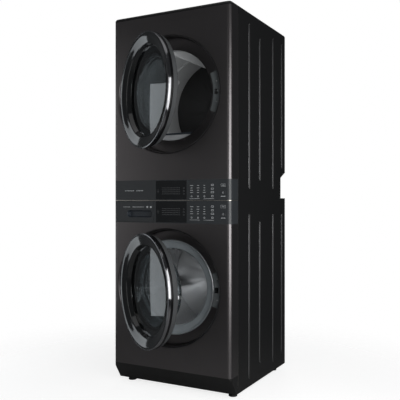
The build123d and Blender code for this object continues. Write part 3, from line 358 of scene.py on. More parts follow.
# Light finish of the groove ribs: a painted highlight line along each groove.
RIB_HIGHLIGHT_PAINT = surface("painted_rib_highlight", (0.15, 0.15, 0.155), 0.42, metallic=0.6, vary=0.12, cloud=6.0,
                    grain=400.0, bump=0.10, depth_mm=0.03, smudge=0.06)
LOCK_GREY = surface("lock_plate_grey", (0.15, 0.165, 0.17), 0.42, vary=0.08, cloud=10.0, grain=900.0,
                    bump=0.15, depth_mm=0.04, smudge=0.05)
# Darker copy of the drum coat for the dryer drum's back wall: painted shade of the dim back of the drum.
DRUM_BACK_SHADE_PAINT = surface("drum_back_painted_shade", (0.024, 0.024, 0.025), 0.34, metallic=0.4, vary=0.06, cloud=7.0,
                         grain=1300.0, bump=0.20, depth_mm=0.05, smudge=0.05)


def dress_cad_nodes():
    """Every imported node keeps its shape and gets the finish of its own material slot."""
    for node in frame["nodes"].values():
        for slot in node.material_slots:
            slot.material = FINISH[slot.material.name.split(".")[0]]
    for name, finish in (("lock_plates", LOCK_GREY), ("dryer_door_catch", FINISH["dark_plastic"])):
        frame["nodes"][name].material_slots[0].material = finish


# ---------------------------------------------------------------- doors
def ajar_place(joint_name):
    """The turn about the hinge that brings a shut door to where it hangs at rest."""
    hinge = Vector(JOINTS[joint_name]["pos_m"])
    return Matrix.Translation(hinge) @ Matrix.Rotation(-radians(AJAR), 4, "Z") @ Matrix.Translation(-hinge)


def door_bevel():
    """Outline of the ring: a broad gently falling band, then a steep wall down to the window."""
    r = DOOR_R / MM
    w = WINDOW_R / MM
    front = [(r - 5.2, -11.3), (r - 14, -10.2), (r - 24, -7.6), (r - 40, -3.0), (w + 12.4, 0.0),
             (w + 9.6, 1.8), (w + 1.2, 20.2), (w, 21.0)]
    back = [(w, 22.3), (w + 3.2, 22.5), (w + 3.3, 26.4), (w + 6.2, 26.4), (w + 6.6, 20.5), (w + 13.6, 3.2),
            (r - 26, -5.2), (r - 5.2, -9.4)]
    return soften(mm_outline(front + back), 2.0 * MM, 4)


def door_mask():
    """Outline of the dark border seen behind the window, down to the bowl's mouth."""
    w = WINDOW_R / MM
    return soften(mm_outline([(w + 5.0, 28.0), (w + 5.0, 29.6), (BOWL_SEAT_R / MM + 2, 38.6),
                              (BOWL_SEAT_R / MM, 39.6), (BOWL_SEAT_R / MM - 0.6, 38.2)]), 0.6 * MM, 3)


def door_lip():
    """Outline of the thin bright lip at the front of the rim."""
    r = DOOR_R / MM
    return soften(mm_outline([(r - 5.2, -12.0), (r - 1.5, -12.0), (r, -10.5), (r, -7.5), (r - 2.2, -7.5),
                              (r - 2.4, -9.0), (r - 5.2, -9.3)]), 0.5 * MM, 3)


def door_band():
    """Bright shoulder of the rim."""
    r = DOOR_R / MM
    return soften(mm_outline([(r, -7.5), (r, 1.2), (r - 0.8, 2.0), (r - 2.4, 2.0), (r - 2.4, -7.5)]),
                  0.25 * MM, 2)


def door_tail():
    """Tail of the rim behind the bright shoulder, coated near-black as a painted dark reflection of the
    chrome.
    """
    r = DOOR_R / MM
    return soften(mm_outline([(r - 1.0, 2.1), (r - 0.4, 3.0), (r - 1.0, 13.8), (r - 2.4, 14.0),
                              (r - 2.4, 2.1)]), 0.25 * MM, 2)


def door_pane():
    """Outer window: a shallow dome with a thick flat edge."""
    crown = 4.0
    w = WINDOW_R / MM
    rim = w + 3.0
    base = PANE_DEPTH / MM
    rings = 14
    dome = [(w - 1.0 - (w - 1.0) * i / rings) for i in range(rings + 1)]
    outside = [(r, base - crown * (1 - (r / (w - 1)) ** 2)) for r in dome]
    inside = [(r, d + 4.0) for r, d in reversed(outside)]
    return mm_outline([(rim, base + 4.0), (rim, base + 0.3), (rim - 0.3, base)] + outside + inside)


def door_bowl(reach, nose_r):
    """Pressed glass bowl with a rounded nose, from its flange to its crown."""
    seat = 52.5 + CREST / MM
    reach += CREST / MM
    root = BOWL_SEAT_R / MM - 1.5
    wall = 5.0
    outside = curved([(root, seat), (root - 3.0, seat + 9), ((root + nose_r) / 2 + 3, (seat + reach) / 2 - 4),
                      (nose_r + 2, reach - 9), (nose_r - 9, reach), (nose_r * 0.55, reach + 8),
                      (0.0, reach + 10)], 7)
    inside = [Vector((max(0.0, p.x - wall), p.y - (wall if p.x < nose_r - 12 else wall * 0.35)))
              for p in outside]
    inside[-1].x = 0.0
    flange = [(root - wall, seat - 4), (root + 13.5, seat - 4), (root + 13.5, seat)]
    return mm_outline(flange + [tuple(p) for p in outside] + [tuple(p) for p in reversed(inside)])


def screw_head(bm, x, y, z, radius, height, facing):
    """Pan head with a cross recess. facing is 1 towards the back and -1 towards the front."""
    rings, steps = 9, 32
    crown = bm.verts.new((x, y + facing * height * 0.45, z))
    rows = []
    for i in range(1, rings + 1):
        share = i / rings
        row = []
        for k in range(steps):
            a = 2 * pi * k / steps
            dx, dz = share * radius * cos(a), share * radius * sin(a)
            top = height * (1 - 0.45 * share ** 3)
            arm = 0.17 * radius
            inside = (abs(dx) < arm or abs(dz) < arm) and share < 0.62
            row.append(bm.verts.new((x + dx, y + facing * (height * 0.45 if inside else top), z + dz)))
        rows.append(row)
    rows.append([bm.verts.new((x + radius * cos(2 * pi * k / steps), y, z + radius * sin(2 * pi * k / steps)))
                 for k in range(steps)])
    for k in range(steps):
        bm.faces.new((crown, rows[0][k], rows[0][(k + 1) % steps]))
    for near, far in zip(rows, rows[1:]):
        join_loops(bm, near, far)
    bm.faces.new(rows[-1][::-1])


def door_screws(axis_z, ring_r, count, first):
    """Small screws in a circle on the back of a door's clamp ring."""
    bm = bmesh.new()
    for i in range(count):
        a = radians(first + 360 * i / count)
        screw_head(bm, AXIS_X + ring_r * cos(a), depth(45.4), axis_z + ring_r * sin(a), 3.4 * MM, 2.0 * MM, 1)
    return bm


def build_door(name, axis_z, reach, nose_r):
    """All the round pieces of one door, made shut and then turned to where the door hangs."""
    place = ajar_place(name + "_hinge")
    gloss, chrome = FINISH["black_gloss"], FINISH["chrome_trim"]
    bevel = piece(name + "_bevel", turn(door_bevel(), AXIS_X, axis_z, 256), gloss, name,
                  place=place)
    mask = piece(name + "_window_border", turn(door_mask(), AXIS_X, axis_z, 192), RING_SATIN, name,
                 place=place)
    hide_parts(name + "_ring")
    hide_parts(name + "_ring")
    lip = piece(name + "_rim_lip", turn(door_lip(), AXIS_X, axis_z, 256), chrome, name,
                place=place)
    notch = 8.6
    band = piece(name + "_rim_band", turn(door_band(), AXIS_X, axis_z, 250, 180 + notch, 360 - 2 * notch),
                 chrome, name, place=place)
    # The tail's near-black coat is a painted dark reflection of the chrome rim.
    tail = piece(name + "_rim_tail", turn(door_tail(), AXIS_X, axis_z, 250, 180 + notch, 360 - 2 * notch),
                 RIM_DARK_REFLECTION_PAINT, name, place=place)
    for made in (lip, band, tail):
        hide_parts(name + "_trim")
    pane = piece(name + "_pane", turn(door_pane(), AXIS_X, axis_z, 192), FINISH["tinted_glass"], name,
                 place=place)
    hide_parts(name + "_window")
    bowl = piece(name + "_glass_bowl", turn(door_bowl(reach, nose_r), AXIS_X, axis_z, 160),
                 FINISH["clear_glass"], name, place=place)
    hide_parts(name + "_bowl")
    seat = BOWL_SEAT_R / MM
    clamp = soften(mm_outline([(seat + 1, 43.0), (seat + 1, 44.6), (seat + 3, 45.6), (seat + 17, 45.6),
                               (seat + 19, 43.0)]), 0.6 * MM, 3)
    piece(name + "_clamp_ring", turn(clamp, AXIS_X, axis_z, 192), FINISH["dark_plastic"], name,
          place=place)
    piece(name + "_clamp_screws", door_screws(axis_z, (seat + 10) * MM, 10, 18), FINISH["stainless_steel"],
          name, place=place)
    seal = soften(mm_outline([(226, 43.0), (226, 45.0), (229, 46.4), (233, 46.4), (236, 45.0), (236, 43.0)]),
                  0.8 * MM, 3)
    piece(name + "_seal", turn(seal, AXIS_X, axis_z, 192), FOOT_RUBBER, name, place=place)


# ---------------------------------------------------------------- washer inside
def perforated_wall(x, z, radius, y0, y1, columns, rows):
    """Cylinder wall of small cells, every second one with a round hole."""
    bm = bmesh.new()
    pitch_y = (y1 - y0) / rows
    pitch_a = 2 * pi / columns
    grid = {}

    def at(i, j):
        key = (i % (2 * columns), j)
        if key not in grid:
            a = pitch_a * key[0] / 2
            grid[key] = bm.verts.new((x + radius * cos(a), y0 + pitch_y * j / 2, z + radius * sin(a)))
        return grid[key]

    hole = 2.3 * MM
    around = ((0, 0), (1, 0), (2, 0), (2, 1), (2, 2), (1, 2), (0, 2), (0, 1))
    for c in range(columns):
        for r in range(rows):
            edge = [at(2 * c + i, 2 * r + j) for i, j in around]
            if (c + r) % 2 or r in (0, rows - 1):
                bm.faces.new(edge)
                continue
            rim = []
            for i, j in around:
                away = hypot(i - 1, j - 1)
                a = pitch_a * (c + 0.5) + (i - 1) / away * hole / radius
                y = y0 + pitch_y * (r + 0.5) + (j - 1) / away * hole
                rim.append(bm.verts.new((x + radius * cos(a), y, z + radius * sin(a))))
            for k in range(8):
                m = (k + 1) % 8
                bm.faces.new((edge[k], edge[m], rim[m], rim[k]))
    return bm


def thicken(made, thickness):
    """Give a thin sheet its thickness, half to each side."""
    shell = made.modifiers.new("thickness", "SOLIDIFY")
    shell.thickness = thickness
    shell.offset = 0.0
    return made


def stamped_disc(x, z, outer, inner, y_at, thickness, lobes, relief):
    """Drum back: a disc with radial stampings, closed behind by a plain face."""
    bm = bmesh.new()
    rings, steps = 30, 180
    front, back = [], []
    for i in range(rings + 1):
        r = inner + (outer - inner) * i / rings
        near, far = [], []
        for k in range(steps):
            a = 2 * pi * k / steps
            band = max(0.0, sin(pi * (r - inner) / (outer - inner))) ** 1.5
            wave = (0.5 + 0.5 * cos(lobes * a)) ** 3
            y = y_at(r) - relief * band * wave
            near.append(bm.verts.new((x + r * cos(a), y, z + r * sin(a))))
            far.append(bm.verts.new((x + r * cos(a), y_at(r) + thickness, z + r * sin(a))))
        front.append(near)
        back.append(far)
    for rows in (front, back):
        for near, far in zip(rows, rows[1:]):
            join_loops(bm, near, far)
    join_loops(bm, front[0], back[0])
    join_loops(bm, front[-1], back[-1])
    return bm


def paddle(x, z, angle, wall_r, height, half_foot, y0, y1):
    """Drum paddle: a rounded ridge with flared feet that dies away at both ends."""
    bm = bmesh.new()
    lengths, across = 40, 28
    a = radians(angle)
    out, side = Vector((sin(a), cos(a))), Vector((cos(a), -sin(a)))
    loops = []
    for i in range(lengths + 1):
        t = i / lengths
        end = min(1.0, min(t, 1 - t) / 0.10)
        rise = sqrt(max(0.0, 1 - (1 - end) ** 2))
        top, foot = [], []
        for k in range(across + 1):
            s = 2 * k / across - 1
            u = s * half_foot * (0.80 + 0.20 * rise)
            wall = sqrt(wall_r ** 2 - u ** 2)
            v = height * rise * (0.5 + 0.5 * cos(pi * abs(s) ** 0.85)) ** 0.8 if abs(s) < 1 else 0.0
            y = y0 + (y1 - y0) * t
            for radius, row in ((wall - v, top), (wall + 1.0 * MM, foot)):
                p = out * radius + side * u
                row.append(bm.verts.new((x + p.x, y, z + p.y)))
        loops.append(top + foot[::-1])
    for near, far in zip(loops, loops[1:]):
        join_loops(bm, far, near)
    bm.faces.new(loops[0])
    bm.faces.new(loops[-1][::-1])
    return bm


def build_washer_drum():
    """Lip, perforated wall, stamped back, hub and paddles of the washer's drum."""
    steel = FINISH["stainless_steel"]
    r = WASHER_DRUM_R / MM
    lip = soften(mm_outline([(211.0, 137.4), (213, 136.0), (r - 8, 138), (r, 146), (r, 150), (r - 1.5, 150),
                             (r - 1.5, 147), (r - 9, 139.8), (214, 139.0), (211.0, 140.4)]), 1.2 * MM, 3)
    front = piece("washer_drum_front", turn(lip, AXIS_X, WASHER_Z), steel, "washer_drum")
    cells = perforated_wall(AXIS_X, WASHER_Z, WASHER_DRUM_R - 0.75 * MM, depth(148), depth(558), 120, 29)
    wall = piece("washer_drum_wall", cells, steel, "washer_drum")
    thicken(wall, 1.4 * MM)

    def back_y(radius):
        share = min(1.0, max(0.0, (radius / MM - 60) / 90))
        return depth(546 + 11.5 * share * share * (3 - 2 * share))

    disc = stamped_disc(AXIS_X, WASHER_Z, WASHER_DRUM_R - 1.2 * MM, 40 * MM, back_y, 1.6 * MM, 9, 6 * MM)
    back = piece("washer_drum_back", disc, steel, "washer_drum")
    cap = soften(mm_outline([(0, 543), (30, 543), (44, 546), (44, 560), (56, 562), (50, 570), (12.5, 570),
                             (12.5, 670), (0, 670)]), 2 * MM, 4)
    hub = piece("washer_drum_hub", turn(cap, AXIS_X, WASHER_Z, 96), steel, "washer_drum")
    for made in (front, wall, back, hub):
        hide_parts("washer_drum")
    for number, angle in enumerate(LIFTER_ANGLES, 1):
        lifter = paddle(AXIS_X, WASHER_Z, angle, WASHER_DRUM_R - 1.5 * MM, 54 * MM, 40 * MM, depth(160),
                        depth(540))
        made = piece(f"washer_lifter_{number}", lifter, FINISH["grey_plastic"], "washer_drum",
                     crease=60)
        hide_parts("washer_drum_lifters")


def build_bellows():
    """Folded rubber between the front and the tub, its wire clamp and its three spray nozzles."""
    path = [(242, 47.6), (235, 48.4), (230, 54), (214, 58.5), (201, 62), (197.5, 70), (203, 78), (219, 82.5),
            (228, 89), (223.5, 101), (223.8, 127)]
    outline = ribbon(mm_outline(path), 4.2 * MM)
    made = piece("washer_gasket", turn(outline, AXIS_X, WASHER_Z, 192), FINISH["rubber"], "cabinet",
                 crease=50)
    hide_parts("washer_bellows")
    wire = [(239.5 + 1.6 * cos(2 * pi * k / 10), 46.0 + 1.6 * sin(2 * pi * k / 10)) for k in range(10)]
    piece("washer_gasket_clamp", turn(mm_outline(wire), AXIS_X, WASHER_Z, 192), FINISH["stainless_steel"],
          "cabinet")
    nozzle = bmesh.new()
    for dx in (-34, 0, 34):
        z = WASHER_Z + sqrt((197 * MM) ** 2 - (dx * MM) ** 2)
        slab(nozzle, pill(AXIS_X + dx * MM, z, 11 * MM, 13 * MM, 4 * MM), depth(63), depth(76))
    bmesh.ops.bevel(nozzle, geom=nozzle.edges[:], offset=0.8 * MM, segments=2, affect="EDGES")
    piece("washer_gasket_nozzles", nozzle, FINISH["dark_plastic"], "cabinet")


# ---------------------------------------------------------------- dryer inside
def build_dryer_drum():
    """Swaged wall, stamped back, hub and vanes of the dryer's drum."""
    r = DRYER_DRUM_R / MM
    paint = FINISH["drum_paint"]
    swages = []
    for centre in (200, 330, 460):
        swages += [(r, centre - 14), (r - 4, centre - 7), (r - 4, centre + 7), (r, centre + 14)]
    outside = [(271, 106), (r - 4, 106), (r, 110)] + swages + [(r, 619)]
    inside = [(radius - 1.6, d) for radius, d in reversed(outside[3:])]
    wall = soften(mm_outline(outside + inside + [(r - 5, 112), (r - 7, 107.8), (271, 107.8)]), 1.5 * MM, 3)
    shell = piece("dryer_drum_wall", turn(wall, AXIS_X, DRYER_Z, 216), paint, "dryer_drum")

    def back_y(radius):
        share = min(1.0, max(0.0, (radius / MM - 70) / 45))
        return depth(608 + 10.2 * share * share * (3 - 2 * share))

    disc = stamped_disc(AXIS_X, DRYER_Z, (r - 0.9) * MM, 38 * MM, back_y, 1.4 * MM, 12, 5 * MM)
    # The back wall's darker coat is painted shade.
    back = piece("dryer_drum_back", disc, DRUM_BACK_SHADE_PAINT, "dryer_drum")
    cap = soften(mm_outline([(0, 606), (30, 606), (40, 608.5), (40, 617), (9, 620), (9, 650), (0, 650)]),
                 2 * MM, 4)
    hub = piece("dryer_drum_hub", turn(cap, AXIS_X, DRYER_Z, 96), FINISH["stainless_steel"], "dryer_drum")
    for made in (shell, back, hub):
        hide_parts("dryer_drum")
    for number, angle in enumerate(VANE_ANGLES, 1):
        vane = paddle(AXIS_X, DRYER_Z, angle, DRYER_DRUM_R - 1.5 * MM, 62 * MM, 34 * MM, depth(138),
                      depth(586))
        made = piece(f"dryer_vane_{number}", vane, paint, "dryer_drum", crease=60)
        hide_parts("dryer_drum_vanes")


# ---------------------------------------------------------------- latch plates and small screws
def build_latch_fittings():
    """Screws in the latch plates at the right and in the hinge brackets at the left."""
    bm = bmesh.new()
    spots = [(258, DRYER_Z + 52 * MM), (262, DRYER_Z + 2 * MM), (258, DRYER_Z - 50 * MM),
             (262, WASHER_Z + 56 * MM), (262, WASHER_Z - 48 * MM)]
    for x, z in spots:
        screw_head(bm, AXIS_X + x * MM, depth(47), z, 3.6 * MM, 1.8 * MM, -1)
    piece("latch_plate_screws", bm, FINISH["stainless_steel"], "cabinet")
    bm = bmesh.new()
    for axis_z in (WASHER_Z, DRYER_Z):
        for dz in (-26, 26):
            screw_head(bm, AXIS_X - 254 * MM, depth(47), axis_z + dz * MM, 3.2 * MM, 1.8 * MM, -1)
    piece("hinge_bracket_screws", bm, FINISH["stainless_steel"], "cabinet")


# ---------------------------------------------------------------- side sheets
def ridge(bm, x, y, z0, z1, width, height, side):
    """Half-round rib standing on a side sheet, thinning out at both ends."""
    rows = []
    steps, around = 24, 8
    for i in range(steps + 1):
        t = i / steps
        swell = min(1.0, min(t, 1 - t) / 0.04 + 0.12)
        row = []
        for k in range(around + 1):
            a = pi * k / around
            row.append(bm.verts.new((x + side * height * swell * sin(a), y + width / 2 * swell * cos(a),
                                     z0 + (z1 - z0) * t)))
        rows.append(row)
    for near, far in zip(rows, rows[1:]):
        for k in range(around):
            bm.faces.new((near[k], near[k + 1], far[k + 1], far[k]))
        bm.faces.new((near[0], far[0], far[around], near[around]))
    bm.faces.new(rows[0])
    bm.faces.new(rows[-1][::-1])


def build_side_ribs():
    """A rib in a light finish along the floor of each pressed groove, and a fine bead in bright trim down
    each front seam; both are painted highlight lines where the grooves and seams catch the light.
    """
    ribs, seams = bmesh.new(), bmesh.new()
    edge = CAD_BOX[1][0]
    for node in ("washer_side_panels", "dryer_side_panels"):
        floor_x = edge - 3 * MM
        points = sorted((v.co.y, v.co.z) for v in frame["nodes"][node].data.vertices
                        if abs(v.co.x - floor_x) < 0.1 * MM)
        groups = []
        for y, z in points:
            if not groups or y - groups[-1][-1][0] > 30 * MM:
                groups.append([])
            groups[-1].append((y, z))
        lo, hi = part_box(node)
        for side in (-1, 1):
            for group in groups:
                y = (group[0][0] + group[-1][0]) / 2
                heights = [z for _, z in group]
                ridge(ribs, side * floor_x, y, min(heights) + 4 * MM, max(heights) - 4 * MM, 6 * MM, 2 * MM,
                      side)
            ridge(seams, side * (edge - 0.75 * MM), lo.y + 1.3 * MM, lo.z + 2 * MM, hi.z - 2 * MM, 2.2 * MM,
                  0.65 * MM, side)
    # The ribs' light finish is a painted highlight line.
    piece("side_groove_highlight_ribs", ribs, RIB_HIGHLIGHT_PAINT, "cabinet")
    # The seam beads' bright trim is a painted highlight line along each front seam.
    piece("side_seam_highlight_beads", seams, FINISH["bright_trim"], "cabinet")


# ---------------------------------------------------------------- control band
BAND_TOPS = {"dryer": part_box("dryer_fascia")[1].z, "washer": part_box("washer_fascia")[1].z}
PRINT = 0.12 * MM
LEGEND_COLUMNS = (128, 164, 199)
LEGEND_WIDTHS = ((19, 14, 10), (13, 17, 11), (17, 12, 12), (18, 13, 16))
LEGEND_DROPS = (29.5, 41.5, 53, 64)
ICON_DROP = 83
RULE_DROP = 94.5
RULE_SPANS = ((117, 173), (194, 252))
OPTION_X = 243
OPTION_FRAMES = ((28, 14), (46, 13), (63, 16), (82, 11))
DRAWER_LEGEND_DROP = 29


def dashes(bm, x0, x1, z, height, y, word=9):
    """A line of short plain dashes in place of words."""
    count = max(1, round((x1 - x0) / word))
    step = (x1 - x0) / count
    for i in range(count):
        width = step - 1.6
        slab(bm, pill((x0 + step * (i + 0.5)) * MM, z, width * MM, height * MM), y - PRINT, y)


def build_legends():
    """Printed bars, rings and frames around each half's keys; none of it is lettering."""
    for half, top in BAND_TOPS.items():
        bm = bmesh.new()
        for drop, widths in zip(LEGEND_DROPS, LEGEND_WIDTHS):
            for x, width in zip(LEGEND_COLUMNS, widths):
                dashes(bm, x - width / 2, x + width / 2, top - drop * MM, 2.4, FRONT, word=width)
        for x in LEGEND_COLUMNS:
            hoop(bm, pill(x * MM, top - ICON_DROP * MM, 9 * MM, 9 * MM),
                 pill(x * MM, top - ICON_DROP * MM, 5.4 * MM, 5.4 * MM), FRONT - PRINT, FRONT)
        for x0, x1 in RULE_SPANS:
            rule = pill((x0 + x1) / 2 * MM, top - RULE_DROP * MM, (x1 - x0) * MM, 1.6 * MM)
            slab(bm, rule, FRONT - PRINT, FRONT)
        for drop, width in OPTION_FRAMES:
            hoop(bm, pill(OPTION_X * MM, top - drop * MM, width * MM, 9 * MM, 2 * MM),
                 pill(OPTION_X * MM, top - drop * MM, (width - 4) * MM, 5 * MM, 1 * MM), FRONT - PRINT, FRONT)
        dashes(bm, 288, 314, top - 83 * MM, 3.0, FRONT, word=13)
        if half == "dryer":
            dashes(bm, -272, -214, top - 53 * MM, 3.6, FRONT, word=10)
            dashes(bm, -201, -157, top - 53 * MM, 3.6, FRONT, word=9)
        piece(half + "_legends", bm, INK, "cabinet")


def build_display_marks():
    """Faint rows and frames behind each display window."""
    for half, top in BAND_TOPS.items():
        bm = bmesh.new()
        for dz in (-7, 0, 7):
            bar = pill(-67 * MM, top - (57 + dz) * MM, (12 - abs(dz)) * MM, 3.0 * MM)
            slab(bm, bar, FRONT - PRINT, FRONT)
        for drop in (42, 56, 70):
            hoop(bm, pill(84 * MM, top - drop * MM, 9 * MM, 7 * MM, 2 * MM),
                 pill(84 * MM, top - drop * MM, 5.6 * MM, 3.6 * MM, 1 * MM), FRONT - PRINT, FRONT)
        for drop in (40, 50, 60, 70):
            dashes(bm, -44, 62, top - drop * MM, 3.4, FRONT, word=9)
        piece(half + "_display_marks", bm, FAINT_INK, "cabinet")


def key_print(name, kind):
    """Generic symbols on a key: a triangle and two bars, or a broken ring with a stroke."""
    lo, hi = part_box(name)
    face = lo.y
    x, z = (lo.x + hi.x) / 2, (lo.z + hi.z) / 2
    bm = bmesh.new()
    width, height = 25 * MM, 14 * MM
    if kind == "start":
        hoop(bm, pill(x, z, width, height, 2 * MM), pill(x, z, width - 1.6 * MM, height - 1.6 * MM, 1.4 * MM),
             face - PRINT, face)
        slab(bm, [(x - 6 * MM, z - 3 * MM), (x - 1 * MM, z), (x - 6 * MM, z + 3 * MM)], face - PRINT, face)
        for dx in (2.4, 5.4):
            slab(bm, pill(x + dx * MM, z, 1.6 * MM, 6 * MM), face - PRINT, face)
    else:
        hoop(bm, pill(x, z, 8 * MM, 8 * MM), pill(x, z, 6 * MM, 6 * MM), face - PRINT, face)
        slab(bm, pill(x, z + 3.4 * MM, 1.4 * MM, 5 * MM), face - 1.6 * PRINT, face)
    piece(name + "_print", bm, INK, name)


def build_drawer_front():
    """Legends and the rounded lining of the finger pull; they travel with the drawer."""
    bm = bmesh.new()
    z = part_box("detergent_drawer")[1].z - DRAWER_LEGEND_DROP * MM
    dashes(bm, -282, -238, z, 3.0, FRONT, word=9)
    dashes(bm, -225, -152, z, 3.0, FRONT, word=9)
    for x in (-132, -111):
        slab(bm, pill(x * MM, z, 11 * MM, 9 * MM, 3 * MM), FRONT - PRINT, FRONT)
    piece("drawer_legends", bm, INK, "detergent_drawer")
    pull_x, pull_z = -179.5 * MM, 898 * MM
    width, height = 157 * MM, 38 * MM
    bm = bmesh.new()
    sections = [(0.0, -0.2), (1.2, -0.2), (2.0, 1.0), (2.4, 8.0), (4.0, 17.0), (9.0, 20.6)]
    back = [(12.0, 21.9), (0.0, 21.9)]
    loops = []
    for inset, d in sections + back:
        line = pill(pull_x, pull_z, width - 2 * inset * MM, height - 2 * inset * MM, steps=12)
        loops.append([bm.verts.new((px, depth(d), pz)) for px, pz in line])
    for near, far in zip(loops, loops[1:]):
        join_loops(bm, near, far)
    join_loops(bm, loops[-1], loops[0])
    floor = loops[len(sections) - 1]
    bm.faces.new(floor)
    piece("drawer_pull_lining", bm, FINISH["blue_grey_plastic"], "detergent_drawer")


# ---------------------------------------------------------------- underside and back
def build_feet():
    """Ribbed rubber pad, threaded stem and lock nut of each levelling foot."""
    lo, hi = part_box("levelling_feet")
    inset = 22 * MM
    steel = FINISH["stainless_steel"]
    number = 0
    for x in (lo.x + inset, hi.x - inset):
        for y in (lo.y + inset, hi.y - inset):
            number += 1
            ribs = [(0, 0.0), (20.6, 0.0), (21.6, 1.0), (21.6, 2.4), (20.8, 3.0), (21.8, 3.8), (21.6, 6.2),
                    (19.0, 8.6), (8.0, 9.2), (7.0, 10.2), (0, 10.2)]
            pad = turn(soften([(r * MM, h * MM) for r, h in ribs], 0.4 * MM, 2), 0, 0, 64)
            thread = [(0, 9.6), (5.4, 9.6)]
            turns = 20
            for i in range(turns):
                low = 10.5 + 2.3 * i
                thread += [(5.2, low), (6.0, low + 0.8), (6.0, low + 1.2), (5.2, low + 2.0)]
            thread += [(5.0, 57.4), (4.0, 58.0), (0, 58.0)]
            stem = turn([(r * MM, h * MM) for r, h in thread], 0, 0, 32)
            upright = Matrix.Translation((x, y, 0)) @ Matrix.Rotation(radians(90), 4, "X")
            made = piece(f"foot_pad_{number}", pad, FOOT_RUBBER, "cabinet", place=upright)
            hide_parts("levelling_feet")
            screw = piece(f"foot_stem_{number}", stem, steel, "cabinet", place=upright)
            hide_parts("levelling_feet")
            nut = bmesh.new()
            hexagon = [(11.4 * MM * cos(pi * k / 3), 11.4 * MM * sin(pi * k / 3)) for k in range(6)]
            slab(nut, hexagon, 17.6 * MM, 23.8 * MM)
            bmesh.ops.bevel(nut, geom=nut.edges[:], offset=0.7 * MM, segments=2, affect="EDGES")
            made = piece(f"foot_nut_{number}", nut, FINISH["zinc_steel"], "cabinet",
                         place=upright)
            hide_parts("levelling_feet")


def build_back_screws():
    """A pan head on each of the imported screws, found by its side and height."""
    rows = {}
    for vertex in frame["nodes"]["panel_screws"].data.vertices:
        rows.setdefault((vertex.co.x > 0, round(vertex.co.z / 0.04)), []).append(vertex.co.copy())
    bm = bmesh.new()
    for points in rows.values():
        y = max(p.y for p in points)
        x = sum(p.x for p in points) / len(points)
        z = (max(p.z for p in points) + min(p.z for p in points)) / 2
        screw_head(bm, x, y - 2.4 * MM, z, 4.5 * MM, 2.4 * MM, 1)
    made = piece("back_panel_screws", bm, FINISH["stainless_steel"], "cabinet")
    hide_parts("panel_screws")


def louvre(bm, x, y, z, width, height, reach):
    """One pressed hood: a rounded ridge, open below."""
    across, up = 16, 6
    rows = []
    for i in range(across + 1):
        s = 2 * i / across - 1
        swell = sqrt(max(0.0, 1 - abs(s) ** 4))
        row = []
        for k in range(up + 1):
            t = k / up
            row.append(bm.verts.new((x + s * width / 2, y + reach * swell * sin(pi * t) ** 0.7,
                                     z + (t - 0.5) * height)))
        rows.append(row)
    for near, far in zip(rows, rows[1:]):
        for k in range(up):
            bm.faces.new((near[k], far[k], far[k + 1], near[k + 1]))
        bm.faces.new((near[0], near[up], far[up], far[0]))
    bmesh.ops.remove_doubles(bm, verts=bm.verts, dist=1e-6)


def build_back_details():
    """Louvres, stiffening ribs, blank labels and the cable grommet on the two back sheets."""
    dryer_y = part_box("dryer_back_panel")[1].y
    washer_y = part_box("washer_side_panels")[1].y - 22.5 * MM
    bm = bmesh.new()
    for column in (-190, -60, 70, 200):
        for row in range(6):
            louvre(bm, column * MM, dryer_y, (1760 - row * 24) * MM, 104 * MM, 13 * MM, 5.5 * MM)
    for column in (-150, 0, 150):
        for row in range(5):
            louvre(bm, column * MM, washer_y, (330 - row * 24) * MM, 104 * MM, 13 * MM, 6 * MM)
    piece("back_louvres", bm, FINISH["zinc_steel"], "cabinet", crease=50)
    bm = bmesh.new()
    for z in (1230, 1420, 1600):
        louvre(bm, 0, dryer_y, z * MM, 560 * MM, 20 * MM, 3.5 * MM)
    for z in (430, 600, 770):
        louvre(bm, 0, washer_y, z * MM, 560 * MM, 20 * MM, 5 * MM)
    piece("back_stiffening_ribs", bm, FINISH["zinc_steel"], "cabinet", crease=50)
    bm = bmesh.new()
    slab(bm, pill(-180 * MM, 1500 * MM, 120 * MM, 70 * MM, 4 * MM), dryer_y, dryer_y + 0.3 * MM)
    slab(bm, pill(-180 * MM, 690 * MM, 120 * MM, 70 * MM, 4 * MM), washer_y, washer_y + 0.3 * MM)
    piece("blank_back_labels", bm, LABEL, "cabinet")
    grommet = soften(mm_outline([(9.5, 713.0), (12.4, 713.0), (13.6, 715.0), (13.9, 717.6), (18.5, 717.8),
                                 (19.0, 720.4), (16.0, 722.0), (11.0, 721.6), (9.5, 719.0)]), 0.8 * MM, 3)
    piece("cable_grommet", turn(grommet, 240 * MM, 1200 * MM, 64), FOOT_RUBBER, "cabinet")


